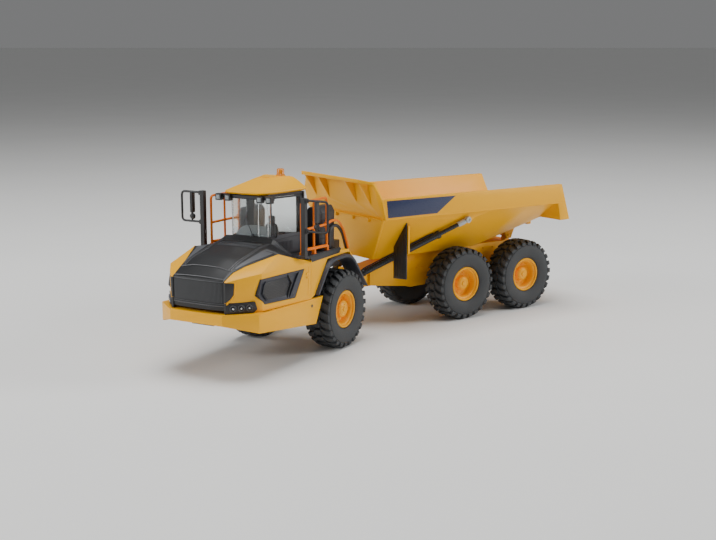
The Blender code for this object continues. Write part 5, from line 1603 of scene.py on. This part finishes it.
@dataclass
class Chassis:
    """Frames, axles, hitch and engine."""

    def bolts(self) -> Surface:
        """Six-sided bolt heads down both sides of the rear frame."""
        heads = []
        for side in (1, -1):
            plane = Plane((0, side * 24.0, 0), (-side, 0, 0), (0, 0, 1))
            for x in (54, 42, 18, -18, -46, -62, -94, -116, -150):
                for z in (82.0, 100.0):
                    heads.append(stud(plane, (-x * side, z), 1.7, 1.2, 6))
        return joined(heads)

    def diff_ribs(self, x: float) -> Surface:
        """Bolted ring round a differential: a turned flange across the axle."""
        profile = [(13.6, -1.6), (16.0, -1.6), (16.4, -1.2), (16.4, 1.2), (16.0, 1.6), (13.6, 1.6)]
        return revolve(profile, 32, "x").moved((x, 0, AXLE_HEIGHT))

    def build(self, shop: Workshop) -> None:
        """Dress the running gear."""
        rear, front = shop.truck.rear, shop.truck.front
        shop.soften("rear_frame", BODY_YELLOW, 0.5)
        for node in ("middle_axle", "rear_axle", "front_axle", "front_frame", "hitch_yoke"):
            shop.soften(node, BLACK, 0.4)
        shop.soften("engine_block", DARK, 0.8)
        shop.piece("rear_frame_bolts", self.bolts(), rear, BODY_YELLOW, "rear_unit", (), 30)
        shop.piece("middle_diff_flange", self.diff_ribs(MIDDLE_AXLE_X), rear, BLACK, "rear_unit")
        shop.piece("rear_diff_flange", self.diff_ribs(REAR_AXLE_X), rear, BLACK, "rear_unit")
        shop.piece("front_diff_flange", self.diff_ribs(FRONT_AXLE_X), front, BLACK, "front_unit")


# ------------------------------------------------------------------ stage

@dataclass
class Studio:
    """Camera, soft lights and a pale floor."""

    lens_mm: float = 60.34
    distance_m: float = 1.958
    azimuth_deg: float = 53.3
    elevation_deg: float = 11.0
    target_mm: tuple[float, float, float] = (142.9, -24.6, 81.0)
    floor_reach_m: float = 60.0

    def camera(self, rear: Layout) -> None:
        """Stand the camera on a sphere about the target."""
        target = Vector(rear.place(np.array([self.target_mm]))[0])
        a, e = math.radians(self.azimuth_deg), math.radians(self.elevation_deg)
        away = Vector((math.cos(e) * math.cos(a), math.cos(e) * math.sin(a), math.sin(e)))
        data = bpy.data.cameras.new("camera")
        data.lens = self.lens_mm
        data.sensor_width = 36.0
        data.clip_end = 50.0
        data.shift_x = 0.004
        camera = bpy.data.objects.new("camera", data)
        camera.location = target + away * self.distance_m
        camera.rotation_euler = away.to_track_quat("Z", "Y").to_euler()
        bpy.context.scene.collection.objects.link(camera)
        bpy.context.scene.camera = camera

    def lamp(self, name: str, at: tuple[float, float, float], size: float, power: float) -> None:
        """A soft square lamp aimed at the truck's middle."""
        data = bpy.data.lights.new(name, "AREA")
        data.shape = "SQUARE"
        data.size = size
        data.energy = power
        obj = bpy.data.objects.new(name, data)
        obj.location = at
        aim = Vector((0.0, 0.0, 0.1)) - obj.location
        obj.rotation_euler = aim.to_track_quat("-Z", "Y").to_euler()
        bpy.context.scene.collection.objects.link(obj)

    def floor(self) -> None:
        """A wide pale sheet under the tyres."""
        mesh = bpy.data.meshes.new("floor")
        reach = self.floor_reach_m
        corners = [(x, y, 0) for x, y in rectangle(-reach, -reach, reach, reach)]
        mesh.from_pydata(corners, [], [(0, 1, 2, 3)])
        obj = bpy.data.objects.new("floor", mesh)
        bpy.context.scene.collection.objects.link(obj)
        pale = bpy.data.materials.new("pale_paper_floor")
        pale.use_nodes = True
        tree = pale.node_tree
        shader = tree.nodes["Principled BSDF"]
        shader.inputs["Roughness"].default_value = 0.85
        place = add_node(tree, "ShaderNodeTexCoord").outputs["Object"]
        fibre = add_node(tree, "ShaderNodeTexNoise", {}, {"Vector": place, "Scale": 3.0, "Detail": 4.0})
        tone = add_node(tree, "ShaderNodeMix", {"data_type": "RGBA"}, {
            "Factor": fibre.outputs["Fac"], 6: linear("#EFEFED"), 7: linear("#F6F6F4")})
        tree.links.new(tone.outputs[2], shader.inputs["Base Color"])
        mesh.materials.append(pale)

    def build(self, rear: Layout) -> None:
        """Set up everything that isn't the truck."""
        self.camera(rear)
        self.floor()
        self.lamp("soft_box_front", (2.7, -0.9, 1.2), 1.1, 36.0)
        self.lamp("soft_box_side", (-2.6, 2.0, 1.4), 1.3, 62.0)
        self.lamp("soft_box_top", (0.2, 0.0, 2.9), 2.0, 74.0)
        world = bpy.data.worlds.new("studio_air")
        world.use_nodes = True
        sky = world.node_tree.nodes["Background"]
        sky.inputs["Color"].default_value = linear("#FBFCFD")
        sky.inputs["Strength"].default_value = 0.2
        bpy.context.scene.world = world


def main() -> None:
    """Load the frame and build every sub-assembly."""
    logging.basicConfig(level=logging.INFO, format="%(name)s %(message)s")
    truck = Truck(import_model())
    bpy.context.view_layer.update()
    shop = Workshop(truck)
    Wheel().build(shop)
    for assembly in (Bonnet(), FrontBody(), Cab(), Platforms(), DumpBody(), LiftCylinders(), Chassis()):
        assembly.build(shop)
    Studio().build(truck.rear)
    LOG.info("%d pieces made", shop.made)


if __name__ == "__main__":
    main()
